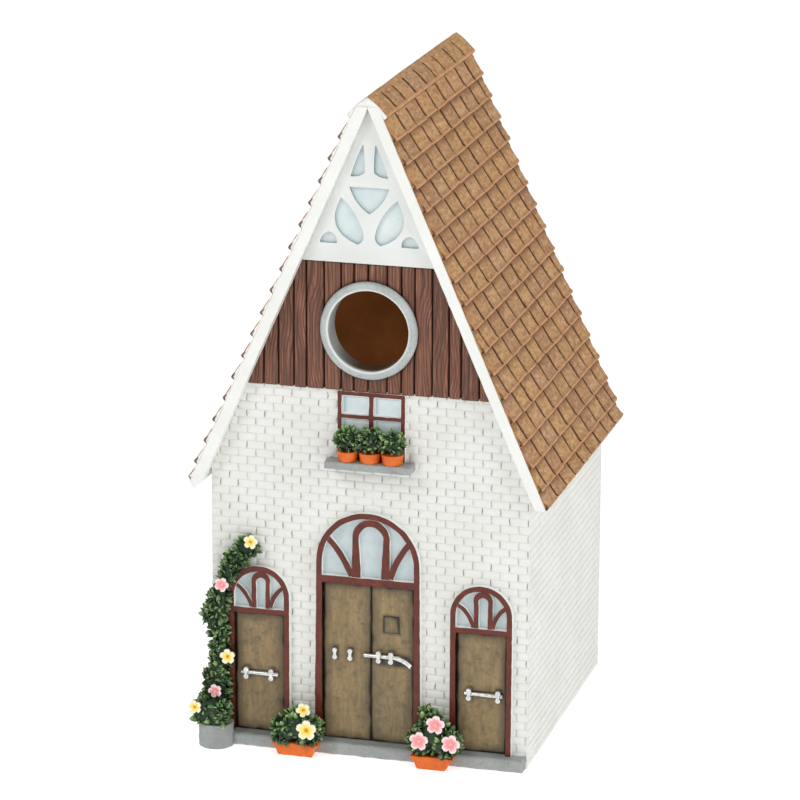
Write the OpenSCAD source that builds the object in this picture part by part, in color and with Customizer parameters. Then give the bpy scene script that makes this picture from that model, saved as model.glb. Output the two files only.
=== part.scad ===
// Birdhouse in the shape of a tall gabled town house, built as separate pieces.
// Origin: centre of the body on the ground. The front wall faces -Y, up is +Z. Millimetres.

/* [Body] */
// Width of the walls, outside
body_w = 136; // [130:1:142]
// Depth of the walls, outside
body_d = 133; // [120:1:150]
// Thickness of the four walls
wall_t = 5; // [4:0.5:6]
// Thickness of the floor
floor_t = 4; // [3:0.5:6]
// Radius of each drain hole in the floor
drain_r = 3; // [2:0.5:4]

/* [Roof] */
// Slope of both roof planes, degrees from level
roof_pitch = 66.4; // [66:0.1:67]
// Height where the planes of the two deck tops would meet
roof_apex_z = 289; // [286:0.5:292]
// Thickness of the roof deck
deck_t = 4.8; // [4:0.1:5]
// Roof beyond the front wall
verge_front = 5.8; // [5:0.1:7]
// Roof beyond the back wall
verge_back = 3.8; // [3.8:0.1:6]
// Length of the bargeboards along the ridge direction
board_t = 4; // [3:0.1:4]
// Spacing of the tile courses down the slope
course = 10.3; // [10.2:0.05:10.4]
// Height of a tile's lower edge above the deck
tile_nose = 2.1; // [1.5:0.1:2.2]

/* [Entrance] */
// Radius of the entrance hole
entrance_r = 17; // [16:0.5:17.5]
// Height of the entrance hole
entrance_z = 184; // [182:1:186]
// Outer radius of the ring's flange
ring_r = 20.6; // [20:0.1:21]
// How far the ring stands proud of the wall
ring_proud = 4; // [3:0.5:5]

/* [Gable] */
// Lower edge of the plank band
band_low_z = 157.6; // [157.6:0.1:158]
// Upper edge of the plank band
band_top_z = 212; // [211:0.5:213]
// Number of planks
planks = 16; // [12:1:18]

/* [Doors] */
// Half width of the centre door's arch with its frame
centre_half = 22.2; // [21:0.1:23]
// Half width of a side door's arch with its frame
side_half = 13.2; // [12:0.1:13.5]
// Half the distance between the side doors' middles
side_x = 47.9; // [47:0.1:48.4]

/* [Rear] */
// Radius of the clean-out hole in the back wall
clean_r = 20; // [18:0.5:20]
// Height of the clean-out hole
clean_z = 60; // [56:1:66]
// Distance from the hole's middle to the cover's pivot and to its keeper
cover_reach = 31; // [31:0.5:34]
// Radius of the hanger's keyhole
keyhole_r = 4.5; // [4:0.1:5]
// Height of the hanger's keyhole
keyhole_z = 200; // [196:1:204]

/* [Hidden] */
$fn = 48;

half_w = body_w / 2;
front_y = -body_d / 2;
back_y = body_d / 2;
roof_front_y = front_y - verge_front;
roof_back_y = back_y + verge_back;
slope_run = cos(roof_pitch);
slope_drop = sin(roof_pitch);
soffit_apex_z = roof_apex_z - deck_t / slope_run;

// the decks are cut level under the ridge tiles
deck_top_z = 277.9;
ridge_z = 282.2;
ridge_nose = [8.8, 274.1];
// slope distances from the apex line
first_course_s = 17.65;
full_courses = 16;
eave_nose_s = 189.25;
eave_deck_s = 190.7;
eave_inner_s = 188.6;
// the lowest point of each deck's end: the right one is cut level, the left one hangs in a drip edge
right_eave_low = [190.7, 0];
left_eave_low = [192.8, -2.9];

plank_t = 1.4;
plank_gap = 0.3;
glass_t = 0.6;
tracery_t = 1.4;
sleeve_r = entrance_r + 1.6;
sleeve_past_wall = 2;

step_top_z = 5.6;
step_front_y = front_y - 6.7;
leaf_t = 1.2;
frame_t = 3;
fan_bar_t = 1.8;

// the centre frame stands a little wider at the foot than at the arch
foot_flare = 0.8;
door_gap = 0.3;
// the pair of side doors sits a little right of the middle
left_door_x = 0.7 - side_x;
right_door_x = 0.7 + side_x;
centre_spring_z = 83.9;
centre_transom = [74.8, 77.9];
centre_face = 2.4;
side_spring_z = 65.8;
side_transom = [58.2, 60.5];
side_face = 2.3;
leaf_joint_x = 1;
// horseshoe bars in the fanlights, off the door's middle:
// offset in X, head radius, head height, foot half width
centre_loop_in = [1.2, 5.3, 17.1, 4.3];
centre_loop_out = [1.2, 8, 17.4, 8.2];
side_loop_in = [0.7, 2.1, 11.3, 1.9];
side_loop_out = [0.7, 4.1, 12, 3.9];

window_x = 0.9;
window_half = 14.4;
window_low_z = 129;
window_t = 1.7;
sill_x = [-17.4, 19.5];
sill_front_y = front_y - 8.7;
sill_top_z = 129;
sill_t = 3.2;
pot_h = 4.3;
pot_taper = 0.5;
pot_off_wall = 4.3;
pot_x = [-8.3, 1.3, 10.8];
pot_r = [4.4, 4.6, 4.7];
plant_r = [4.7, 4.9, 4.6];

bolt_r = 0.9;
bolt_z = 44;
side_bolt_z = 31.5;
fitting_neck = 1.3;
fitting_lobe_r = 1.05;
keeper_x = [-14.4, -7.8];
guide_x = [4.75, 10.1];
guide_h = 5.2;
hatch = [6.4, 54.4];
hatch_size = [6.8, 7.4];

step_x = [-60, half_w - 0.5];
vine_pot = [-65, front_y - 7];
vine_pot_r = 7.4;
vine_pot_h = 10.4;
trough_front_y = front_y - 12.6;
trough_h = 5.6;
trough_rim_h = 1.6;
// the middles of the clumps over the troughs, in front of the wall
mound_off_wall = 8.4;
petal_t = 1.6;

cover_t = 1.2;
washer_t = 0.4;
cover_y = back_y + 0.5;
cover_play = 0.3;
cover_r = clean_r + 4;
screw_r = 2;
screw_head_r = 4;
screw_head_h = 1.8;
pivot_z = clean_z + cover_reach;
keeper_z = clean_z - cover_reach;
hanger_t = 1.2;
hanger_half_w = 8;
hanger_half_h = 20;
hanger_mid_z = keyhole_z + 6;
hanger_screw_r = 1.4;
hanger_head_r = 2.6;
hanger_head_h = 1.6;
hanger_screw_depth = 4;
hanger_screw_z = [hanger_mid_z - 16, hanger_mid_z + 16];
keyhole_slot_half = 2.3;
keyhole_slot_h = 12;
drain_at = 45;

// ---- helpers ----

// a point on the right roof plane: s down the slope from the apex, o outwards from the deck's top
function on_slope(s, o) = [s * slope_run + o * slope_drop, roof_apex_z - s * slope_drop + o * slope_run];

// half width between the roof decks' undersides at height z
function soffit_x(z) = (soffit_apex_z - z) * slope_run / slope_drop;

// points from a up to but not including b, bowed by sag to the left of the way from a to b
function bow(a, b, sag, steps = 8) =
    let (d = b - a, n = [-d[1], d[0]] / norm(d))
    [for (i = [0:steps - 1]) let (t = i / steps) a + d * t + n * 4 * sag * t * (1 - t)];

// an outline drawn in X and Z, made solid between two Y planes
module slab(y_low, y_high) {
    translate([0, y_high, 0])
        rotate([90, 0, 0])
            linear_extrude(y_high - y_low)
                children();
}

// an outline drawn in Y and Z, made solid between two X planes
module beam(x_low, x_high) {
    translate([x_low, 0, 0])
        rotate([90, 0, 90])
            linear_extrude(x_high - x_low)
                children();
}

// a rod along Y
module rod_y(x, z, r, y_low, y_high) {
    translate([x, y_high, z])
        rotate([90, 0, 0])
            cylinder(r = r, h = y_high - y_low);
}

// everything behind the plane y
module behind(y) {
    translate([-200, y, -50])
        cube([400, 200, 400]);
}

// everything below the plane z
module below(z) {
    translate([-200, -200, z - 200])
        cube([400, 400, 200]);
}

// a curved strip of width w from a to b
module strip(a, b, sag, w) {
    d = b - a;
    n = [-d[1], d[0]] / norm(d) * w / 2;
    polygon(concat(bow(a + n, b + n, sag), [b + n], bow(b - n, a - n, -sag), [a - n]));
}

// ---- walls ----

module gable_outline() {
    eave_z = soffit_apex_z - half_w * slope_drop / slope_run;
    polygon([[-half_w, 0], [half_w, 0], [half_w, eave_z], [0, soffit_apex_z], [-half_w, eave_z]]);
}

module front_wall() {
    color("ivory")
        slab(front_y, front_y + wall_t)
            difference() {
                gable_outline();
                translate([0, entrance_z])
                    circle(sleeve_r);
            }
}

module back_wall() {
    pocket_half_w = 6;
    pocket_depth = 4;
    pocket_h = 23;
    color("ivory")
        difference() {
            slab(back_y - wall_t, back_y)
                gable_outline();
            rod_y(0, clean_z, clean_r, back_y - wall_t - 1, back_y + 1);
            rod_y(0, pivot_z, screw_r, back_y - wall_t - 1, back_y + 1);
            rod_y(0, keeper_z, screw_r, back_y - wall_t - 1, back_y + 1);
            for (z = hanger_screw_z)
                rod_y(0, z, hanger_screw_r, back_y - hanger_screw_depth, back_y + 1);
            translate([-pocket_half_w, back_y - pocket_depth, keyhole_z - pocket_half_w])
                cube([2 * pocket_half_w, pocket_depth + 1, pocket_h]);
        }
}

module side_wall() {
    top_out_z = soffit_apex_z - half_w * slope_drop / slope_run;
    top_in_z = soffit_apex_z - (half_w - wall_t) * slope_drop / slope_run;
    color("ivory")
        slab(front_y + wall_t, back_y - wall_t)
            polygon([[half_w - wall_t, 0], [half_w, 0], [half_w, top_out_z], [half_w - wall_t, top_in_z]]);
}

module right_wall() {
    side_wall();
}

module left_wall() {
    mirror([1, 0, 0])
        side_wall();
}

module floor_panel() {
    in_x = half_w - wall_t;
    in_y = back_y - wall_t;
    color("ivory")
        difference() {
            translate([-in_x, -in_y, 0])
                cube([2 * in_x, 2 * in_y, floor_t]);
            for (x = [-drain_at, drain_at], y = [-drain_at, drain_at])
                translate([x, y, -1])
                    cylinder(r = drain_r, h = floor_t + 2);
        }
}

// ---- roof ----

// section of a deck, from the level cut under the ridge down to the eave's lowest point
module deck_outline(low) {
    cut_s = (roof_apex_z - deck_top_z) / slope_drop;
    polygon([
        [0, soffit_apex_z],
        [0, deck_top_z],
        on_slope(cut_s, 0),
        on_slope(eave_deck_s, 0),
        if (low[0] > eave_deck_s) on_slope(low[0], low[1]),
        on_slope(eave_inner_s, -deck_t)]);
}

module right_roof_deck() {
    color("ivory")
        slab(roof_front_y + board_t, roof_back_y)
            deck_outline(right_eave_low);
}

module left_roof_deck() {
    color("ivory")
        slab(roof_front_y + board_t, roof_back_y)
            mirror([1, 0, 0])
                deck_outline(left_eave_low);
}

module right_bargeboard() {
    color("white")
        slab(roof_front_y, roof_front_y + board_t)
            deck_outline(right_eave_low);
}

module left_bargeboard() {
    color("white")
        slab(roof_front_y, roof_front_y + board_t)
            mirror([1, 0, 0])
                deck_outline(left_eave_low);
}

module ridge_tiles() {
    notch = on_slope(first_course_s, 0);
    seat_x = on_slope((roof_apex_z - deck_top_z) / slope_drop, 0)[0];
    ridge_bulge = 0.8;
    color("peru")
        slab(roof_front_y, roof_back_y)
            polygon(concat(
                [[-notch[0], notch[1]]],
                bow([-ridge_nose[0], ridge_nose[1]], [0, ridge_z], ridge_bulge),
                bow([0, ridge_z], ridge_nose, ridge_bulge),
                [ridge_nose, notch, [seat_x, deck_top_z], [-seat_x, deck_top_z]]));
}

// one course: a wedge that starts at the deck and ends in a raised lower edge
module tile_course(s_top, s_nose, s_foot) {
    polygon([on_slope(s_top, 0), on_slope(s_nose, tile_nose), on_slope(s_foot, 0)]);
}

module right_tile_courses() {
    undercut = 0.4;
    color("peru")
        slab(roof_front_y, roof_back_y) {
            for (i = [0:full_courses - 1])
                let (s = first_course_s + i * course)
                    tile_course(s, s + course - undercut, s + course);
            tile_course(first_course_s + full_courses * course, eave_nose_s, eave_deck_s);
        }
}

module left_tile_courses() {
    mirror([1, 0, 0])
        right_tile_courses();
}

// ---- gable ----

module gable_planks() {
    low_x = soffit_x(band_low_z);
    pitch = 2 * low_x / planks;
    color("saddlebrown")
        for (i = [0:planks - 1])
            slab(front_y - plank_t, front_y)
                difference() {
                    intersection() {
                        polygon([
                            [-low_x, band_low_z], [low_x, band_low_z],
                            [soffit_x(band_top_z), band_top_z], [-soffit_x(band_top_z), band_top_z]]);
                        translate([-low_x + i * pitch + plank_gap / 2, band_low_z - 1])
                            square([pitch - plank_gap, band_top_z - band_low_z + 2]);
                    }
                    translate([0, entrance_z])
                        circle(sleeve_r);
                }
}

module entrance_ring() {
    chamfer = 1.2;
    color("silver")
        translate([0, 0, entrance_z])
            rotate([90, 0, 0])
                rotate_extrude($fn = 96)
                    polygon([
                        [entrance_r, -front_y + ring_proud],
                        [entrance_r, -front_y - wall_t - sleeve_past_wall],
                        [sleeve_r, -front_y - wall_t - sleeve_past_wall],
                        [sleeve_r, -front_y + plank_t],
                        [ring_r, -front_y + plank_t],
                        [ring_r, -front_y + ring_proud - chamfer],
                        [ring_r - chamfer, -front_y + ring_proud]]);
}

module gable_top_outline() {
    x = soffit_x(band_top_z);
    polygon([[-x, band_top_z], [x, band_top_z], [0, soffit_apex_z]]);
}

// the openings right of the middle line, and the shield across it
module tracery_openings() {
    sliver = [[2.6, 261.5], [7.9, 248], [2, 249.8]];
    leaf = [[11.8, 239], [4.9, 219.8], [2.4, 224]];
    corner = [[17, 224.6], [20.8, 219.9], [13.6, 219.9]];
    shield = [[-8.3, 243.6], [8.3, 243.6], [0, 232.7]];
    for (side = [0, 1])
        mirror([side, 0]) {
            polygon(concat(
                bow(sliver[0], sliver[1], 0.3),
                bow(sliver[1], sliver[2], 0.6),
                bow(sliver[2], sliver[0], 0.3)));
            polygon(concat(
                bow(leaf[0], leaf[1], 6), bow(leaf[1], leaf[2], 0.9), bow(leaf[2], leaf[0], 1.5)));
            polygon(concat(
                bow(corner[0], corner[1], 0.9),
                bow(corner[1], corner[2], 0.1),
                bow(corner[2], corner[0], 1.2)));
        }
    polygon(concat(
        bow(shield[0], shield[1], 0.2), bow(shield[1], shield[2], 1.3), bow(shield[2], shield[0], 1.3)));
}

module gable_tracery() {
    color("white")
        slab(front_y - glass_t - tracery_t, front_y - glass_t)
            difference() {
                gable_top_outline();
                tracery_openings();
            }
}

module gable_glass() {
    color("lightblue")
        slab(front_y - glass_t, front_y)
            gable_top_outline();
}

// ---- window ----

module window_outline() {
    translate([window_x - window_half, window_low_z])
        square([2 * window_half, band_low_z - window_low_z]);
}

// the four lights between the window's bars
module window_lights() {
    bar = 1.8;
    mullion = 2.1;
    rail_z = [146.2, 147.9];
    pane_w = window_half - bar - mullion / 2;
    for (x = [window_x - window_half + bar, window_x + mullion / 2]) {
        translate([x, window_low_z + bar])
            square([pane_w, rail_z[0] - window_low_z - bar]);
        translate([x, rail_z[1]])
            square([pane_w, band_low_z - bar - rail_z[1]]);
    }
}

module window_frame() {
    color("maroon")
        slab(front_y - window_t, front_y)
            difference() {
                window_outline();
                window_lights();
            }
}

module window_glass() {
    color("lightblue")
        slab(front_y - glass_t, front_y)
            window_lights();
}

module window_sill() {
    color("gray")
        translate([sill_x[0], sill_front_y, sill_top_z - sill_t])
            cube([sill_x[1] - sill_x[0], front_y - sill_front_y, sill_t]);
}

module sill_pot(i) {
    color("darkorange")
        difference() {
            translate([pot_x[i], front_y - pot_off_wall, sill_top_z])
                cylinder(r1 = pot_r[i] - pot_taper, r2 = pot_r[i], h = pot_h);
            behind(front_y - window_t);
        }
}

module sill_plant(i) {
    plant_z = sill_top_z + pot_h + plant_r[i] * 0.95;
    color("darkgreen")
        difference() {
            translate([pot_x[i], front_y - pot_off_wall, plant_z])
                sphere(plant_r[i]);
            behind(front_y - window_t);
            below(sill_top_z + pot_h);
        }
}

module sill_pot_left() {
    sill_pot(0);
}

module sill_pot_middle() {
    sill_pot(1);
}

module sill_pot_right() {
    sill_pot(2);
}

module sill_plant_left() {
    sill_plant(0);
}

module sill_plant_middle() {
    sill_plant(1);
}

module sill_plant_right() {
    sill_plant(2);
}

// ---- doors ----

// a round-headed outline standing on the step, wider at its foot by the flare on each side
module arch(x, half, spring_z, flare = 0) {
    polygon([
        [x - half - flare, step_top_z], [x + half + flare, step_top_z],
        [x + half, spring_z], [x - half, spring_z]]);
    translate([x, spring_z])
        circle(half);
}

// the opening inside a door frame's fanlight, above its transom
module fanlight(x, half, spring_z, transom_top) {
    intersection() {
        arch(x, half, spring_z);
        translate([x - half, transom_top])
            square([2 * half, 2 * half]);
    }
}

// a round head on two legs: offset in X, head radius, head height, foot half width
module horseshoe(x, z, shape) {
    middle = x + shape[0];
    translate([middle, z + shape[2]])
        circle(shape[1]);
    polygon([
        [middle - shape[3], z], [middle + shape[3], z],
        [middle + shape[1], z + shape[2]], [middle - shape[1], z + shape[2]]]);
}

// a fanlight's bars: a horseshoe that widens at its crown, and a curved branch on each side
module fan_bars(x, z, loop_in, loop_out, branch_foot, branch_tip, w) {
    middle = x + loop_out[0];
    difference() {
        horseshoe(x, z, loop_out);
        horseshoe(x, z, loop_in);
    }
    for (side = [-1, 1]) {
        foot = [middle + side * branch_foot[0], z + branch_foot[1]];
        tip = [x + side * branch_tip[0], z + branch_tip[1]];
        strip(foot, tip, side * 1.1, w);
    }
}

module door_frame(
    x, half, spring_z, face, flare, transom,
    loop_in, loop_out, branch_foot, branch_tip, bar_w) {
    color("maroon") {
        slab(front_y - frame_t, front_y)
            difference() {
                arch(x, half, spring_z, flare);
                fanlight(x, half - face, spring_z, transom[1]);
                translate([x - half + face, step_top_z])
                    square([2 * (half - face), transom[0] - step_top_z]);
            }
        slab(front_y - glass_t - fan_bar_t, front_y - glass_t)
            intersection() {
                fan_bars(x, transom[1], loop_in, loop_out, branch_foot, branch_tip, bar_w);
                fanlight(x, half - face / 2, spring_z, transom[1]);
            }
    }
}

module fanlight_glass(x, half, spring_z, transom_top) {
    color("lightblue")
        slab(front_y - glass_t, front_y)
            fanlight(x, half, spring_z, transom_top);
}

module leaf(x_low, x_high, top_z) {
    color("darkkhaki")
        slab(front_y - leaf_t, front_y)
            translate([x_low, step_top_z])
                square([x_high - x_low, top_z - step_top_z]);
}

module centre_door_frame() {
    door_frame(0, centre_half, centre_spring_z, centre_face, foot_flare, centre_transom,
        centre_loop_in, centre_loop_out, [8.4, 0.6], [18.6, 17.4], 2.6);
}

module centre_fanlight_glass() {
    fanlight_glass(0, centre_half - centre_face, centre_spring_z, centre_transom[1]);
}

module centre_door_left_leaf() {
    leaf(centre_face - centre_half, leaf_joint_x, centre_transom[0]);
}

module centre_door_right_leaf() {
    leaf(leaf_joint_x, centre_half - centre_face, centre_transom[0]);
}

module centre_door_hatch() {
    color("tan")
        slab(front_y - leaf_t - 0.5, front_y - leaf_t)
            translate(hatch)
                square(hatch_size);
}

// a rod along X lying on a door leaf
module bolt_rod(x_low, x_high, z) {
    color("silver")
        translate([x_low, front_y - leaf_t - bolt_r, z])
            rotate([0, 90, 0])
                cylinder(r = bolt_r, h = x_high - x_low);
}

module centre_bolt() {
    bend_x = 13.6;
    tail = [18.6, bolt_z - 3.2];
    bolt_rod(-1.7, bend_x, bolt_z);
    color("silver")
        slab(front_y - leaf_t - 1.7 * bolt_r, front_y - leaf_t)
            strip([bend_x - 1.2, bolt_z], tail, 0.5, 2 * bolt_r);
}

// a bone-shaped strap: a neck of height h with a round lobe at each end
module bone(x, z, h) {
    translate([x - fitting_neck / 2, z - h / 2 + fitting_lobe_r])
        square([fitting_neck, h - 2 * fitting_lobe_r]);
    for (end = [-1, 1])
        translate([x, z + end * (h / 2 - fitting_lobe_r)])
            circle(fitting_lobe_r);
}

// straps that hold a bolt against its leaf
module guides(x_list, z) {
    color("silver")
        difference() {
            for (x = x_list)
                slab(front_y - leaf_t - 2 * bolt_r - 0.6, front_y - leaf_t)
                    bone(x, z, guide_h);
            translate([x_list[0] - 3, front_y - leaf_t - bolt_r, z])
                rotate([0, 90, 0])
                    cylinder(r = bolt_r + 0.05, h = x_list[1] - x_list[0] + 6);
        }
}

module centre_bolt_guides() {
    guides(guide_x, bolt_z);
}

module centre_bolt_keepers() {
    color("silver")
        slab(front_y - leaf_t - 1.5, front_y - leaf_t)
            for (x = keeper_x)
                bone(x, bolt_z - 0.4, guide_h);
}

module side_frame(x) {
    door_frame(x, side_half, side_spring_z, side_face, 0, side_transom,
        side_loop_in, side_loop_out, [4.2, 0.6], [10.4, 9.8], 1.8);
}

module side_glass(x) {
    fanlight_glass(x, side_half - side_face, side_spring_z, side_transom[1]);
}

module side_leaf(x) {
    leaf(x - side_half + side_face, x + side_half - side_face, side_transom[0]);
}

module left_door_frame() {
    side_frame(left_door_x);
}

module left_fanlight_glass() {
    side_glass(left_door_x);
}

module left_door_leaf() {
    side_leaf(left_door_x);
}

module left_bolt() {
    bolt_rod(left_door_x - 8.3, left_door_x + 8.2, side_bolt_z);
}

module left_bolt_guides() {
    guides([left_door_x - 5.7, left_door_x + 5.2], side_bolt_z);
}

module right_door_frame() {
    side_frame(right_door_x);
}

module right_fanlight_glass() {
    side_glass(right_door_x);
}

module right_door_leaf() {
    side_leaf(right_door_x);
}

module right_bolt() {
    bolt_rod(right_door_x - 7.1, right_door_x + 9.3, side_bolt_z);
}

module right_bolt_guides() {
    guides([right_door_x - 5, right_door_x + 7.5], side_bolt_z);
}

// ---- step, pots and plants ----

module front_step() {
    edge = 1.4;
    color("gray")
        difference() {
            beam(step_x[0], step_x[1])
                polygon(concat(
                    [[front_y, 0]],
                    [[front_y, step_top_z]],
                    [for (a = [90:15:180])
                        [step_front_y + edge, step_top_z - edge] + edge * [cos(a), sin(a)]],
                    [for (a = [180:15:270])
                        [step_front_y + edge, edge] + edge * [cos(a), sin(a)]]));
            translate([vine_pot[0], vine_pot[1], -1])
                cylinder(r = vine_pot_r, h = step_top_z + 2);
        }
}

module round_pot() {
    color("darkgray")
        difference() {
            translate([vine_pot[0], vine_pot[1], 0])
                cylinder(r = vine_pot_r, h = vine_pot_h);
            behind(front_y);
            slab(front_y - frame_t, front_y + 1)
                left_door_and_gap();
        }
}

// clumps of leaves from the pot up the wall and over the left door: x, z, radius
vine_clumps = [
    [-66, 14.5, 7.6], [-65, 22, 5.6], [-65.2, 28.5, 5.2], [-64.2, 36, 3.9], [-63.6, 42.5, 3.4],
    [-64, 48.5, 3.2], [-64.6, 52, 3.8], [-66, 56.5, 4.7], [-64.2, 63, 4.2], [-62, 67, 3.6],
    [-61, 71.5, 3.2], [-59.3, 76.5, 3.6], [-56.2, 82, 4], [-52, 87, 3.8]];

// everything lower than the round pot's rim, left of the middle
module under_vine() {
    depth = 50;
    translate([-100, vine_pot_h - depth])
        square([100, depth]);
}

module climbing_vine() {
    wall_growth = 6.5;
    pot_growth = 13.6;
    color("darkgreen") {
        slab(front_y - wall_growth, front_y)
            difference() {
                for (c = vine_clumps)
                    translate([c[0], c[1]])
                        circle(c[2]);
                left_door_and_gap();
                under_vine();
            }
        slab(front_y - pot_growth, front_y - wall_growth)
            difference() {
                translate([vine_clumps[0][0], vine_clumps[0][1]])
                    circle(vine_clumps[0][2] - 1);
                under_vine();
            }
    }
}

// the left door's outline with a little room round it
module left_door_and_gap() {
    arch(left_door_x, side_half + door_gap, side_spring_z);
}

// a round flower facing forward, its front at reach from the wall
module bloom(x, z, d, reach) {
    slab(front_y - reach, front_y - reach + petal_t)
        translate([x, z])
            circle(d / 2);
}

module vine_flowers() {
    color("pink") {
        bloom(-62.2, 71, 6.4, 8);
        bloom(-65.1, 23.9, 6, 9);
    }
    color("khaki") {
        bloom(-49.6, 90.6, 6.2, 7.4);
        bloom(-59.8, 39.4, 6.8, 8);
        bloom(-72.2, 18.1, 6, 14.8);
    }
}

module trough(x, half_top, half_foot) {
    color("darkorange")
        slab(trough_front_y, step_front_y)
            polygon([
                [x - half_foot, 0], [x + half_foot, 0],
                [x + half_top - 1, trough_h - trough_rim_h], [x + half_top, trough_h - trough_rim_h],
                [x + half_top, trough_h], [x - half_top, trough_h],
                [x - half_top, trough_h - trough_rim_h], [x - half_top + 1, trough_h - trough_rim_h]]);
}

// a mound of leaves over a trough, made of clumps: x, z, radius
module mound(clumps) {
    color("darkgreen")
        difference() {
            for (c = clumps)
                translate([c[0], front_y - mound_off_wall, c[1]])
                    sphere(c[2]);
            behind(front_y - frame_t - door_gap);
            below(step_top_z);
        }
}

module left_trough() {
    trough(-29, 9.7, 7.4);
}

module left_trough_foliage() {
    mound([[-33.4, 10.4, 6], [-29.5, 12.6, 6.2], [-24.6, 10.4, 6]]);
}

module left_trough_flowers() {
    color("khaki") {
        bloom(-25.2, 20.8, 6.4, 13);
        bloom(-23.2, 12.9, 9, 15.5);
    }
}

module right_trough() {
    trough(30, 9, 6.1);
}

module right_trough_foliage() {
    mound([
        [25.6, 11, 6], [35, 11, 6], [29.6, 15, 6.4],
        [28.7, 19.8, 4.5], [27.6, 22.9, 2.8]]);
}

module right_trough_flowers() {
    color("pink") {
        bloom(32.2, 20.6, 8.3, 14.5);
        bloom(25.4, 13.2, 8.3, 15.5);
        bloom(39, 13.2, 8.3, 15.5);
    }
}

// ---- rear fittings ----

module clean_out_cover() {
    ear_r = 6;
    slot_r = screw_r + 0.3;
    pivot_hole_r = screw_r + 0.05;
    slot_reach = 20;
    color("lightsteelblue")
        slab(cover_y, cover_y + cover_t)
            difference() {
                union() {
                    translate([0, clean_z])
                        circle(cover_r, $fn = 96);
                    translate([-ear_r, keeper_z])
                        square([2 * ear_r, pivot_z - keeper_z]);
                    for (z = [keeper_z, pivot_z])
                        translate([0, z])
                            circle(ear_r);
                }
                translate([0, pivot_z])
                    circle(pivot_hole_r);
                // the hook: a slot on an arc about the pivot, open towards +X
                translate([0, keeper_z])
                    circle(slot_r);
                intersection() {
                    translate([0, pivot_z])
                        difference() {
                            circle(2 * cover_reach + slot_r, $fn = 128);
                            circle(2 * cover_reach - slot_r, $fn = 128);
                        }
                    translate([0, keeper_z - slot_reach / 2])
                        square([slot_reach, slot_reach]);
                }
            }
}

module cover_screw(z) {
    head_y = cover_y + cover_t + cover_play;
    color("silver") {
        rod_y(0, z, screw_r, back_y - wall_t, head_y);
        rod_y(0, z, screw_head_r, head_y, head_y + screw_head_h);
    }
}

module cover_pivot_screw() {
    cover_screw(pivot_z);
}

module cover_keeper_screw() {
    cover_screw(keeper_z);
}

module pivot_washer() {
    washer_r = 4.5;
    color("white")
        difference() {
            rod_y(0, pivot_z, washer_r, back_y, back_y + washer_t);
            rod_y(0, pivot_z, screw_r + 0.05, back_y - 1, back_y + washer_t + 1);
        }
}

module hanger_plate() {
    color("lightsteelblue")
        slab(back_y, back_y + hanger_t)
            difference() {
                translate([-hanger_half_w, hanger_mid_z - hanger_half_h])
                    square([2 * hanger_half_w, 2 * hanger_half_h]);
                translate([0, keyhole_z])
                    circle(keyhole_r, $fn = 96);
                translate([-keyhole_slot_half, keyhole_z])
                    square([2 * keyhole_slot_half, keyhole_slot_h]);
                translate([0, keyhole_z + keyhole_slot_h])
                    circle(keyhole_slot_half);
                for (z = hanger_screw_z)
                    translate([0, z])
                        circle(hanger_screw_r + 0.1);
            }
}

module hanger_screws() {
    head_y = back_y + hanger_t;
    color("silver")
        for (z = hanger_screw_z) {
            rod_y(0, z, hanger_screw_r, back_y - hanger_screw_depth, head_y);
            rod_y(0, z, hanger_head_r, head_y, head_y + hanger_head_h);
        }
}

front_wall();
back_wall();
left_wall();
right_wall();
floor_panel();
left_roof_deck();
right_roof_deck();
left_bargeboard();
right_bargeboard();
ridge_tiles();
left_tile_courses();
right_tile_courses();
gable_planks();
entrance_ring();
gable_tracery();
gable_glass();
window_frame();
window_glass();
window_sill();
sill_pot_left();
sill_pot_middle();
sill_pot_right();
sill_plant_left();
sill_plant_middle();
sill_plant_right();
centre_door_frame();
centre_fanlight_glass();
centre_door_left_leaf();
centre_door_right_leaf();
centre_door_hatch();
centre_bolt();
centre_bolt_guides();
centre_bolt_keepers();
left_door_frame();
left_fanlight_glass();
left_door_leaf();
left_bolt();
left_bolt_guides();
right_door_frame();
right_fanlight_glass();
right_door_leaf();
right_bolt();
right_bolt_guides();
front_step();
round_pot();
climbing_vine();
vine_flowers();
left_trough();
left_trough_foliage();
left_trough_flowers();
right_trough();
right_trough_foliage();
right_trough_flowers();
clean_out_cover();
cover_pivot_screw();
pivot_washer();
cover_keeper_screw();
hanger_plate();
hanger_screws();
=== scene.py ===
import math

import bmesh
import bpy
import numpy as np
from mathutils import Matrix, Vector, noise


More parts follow.
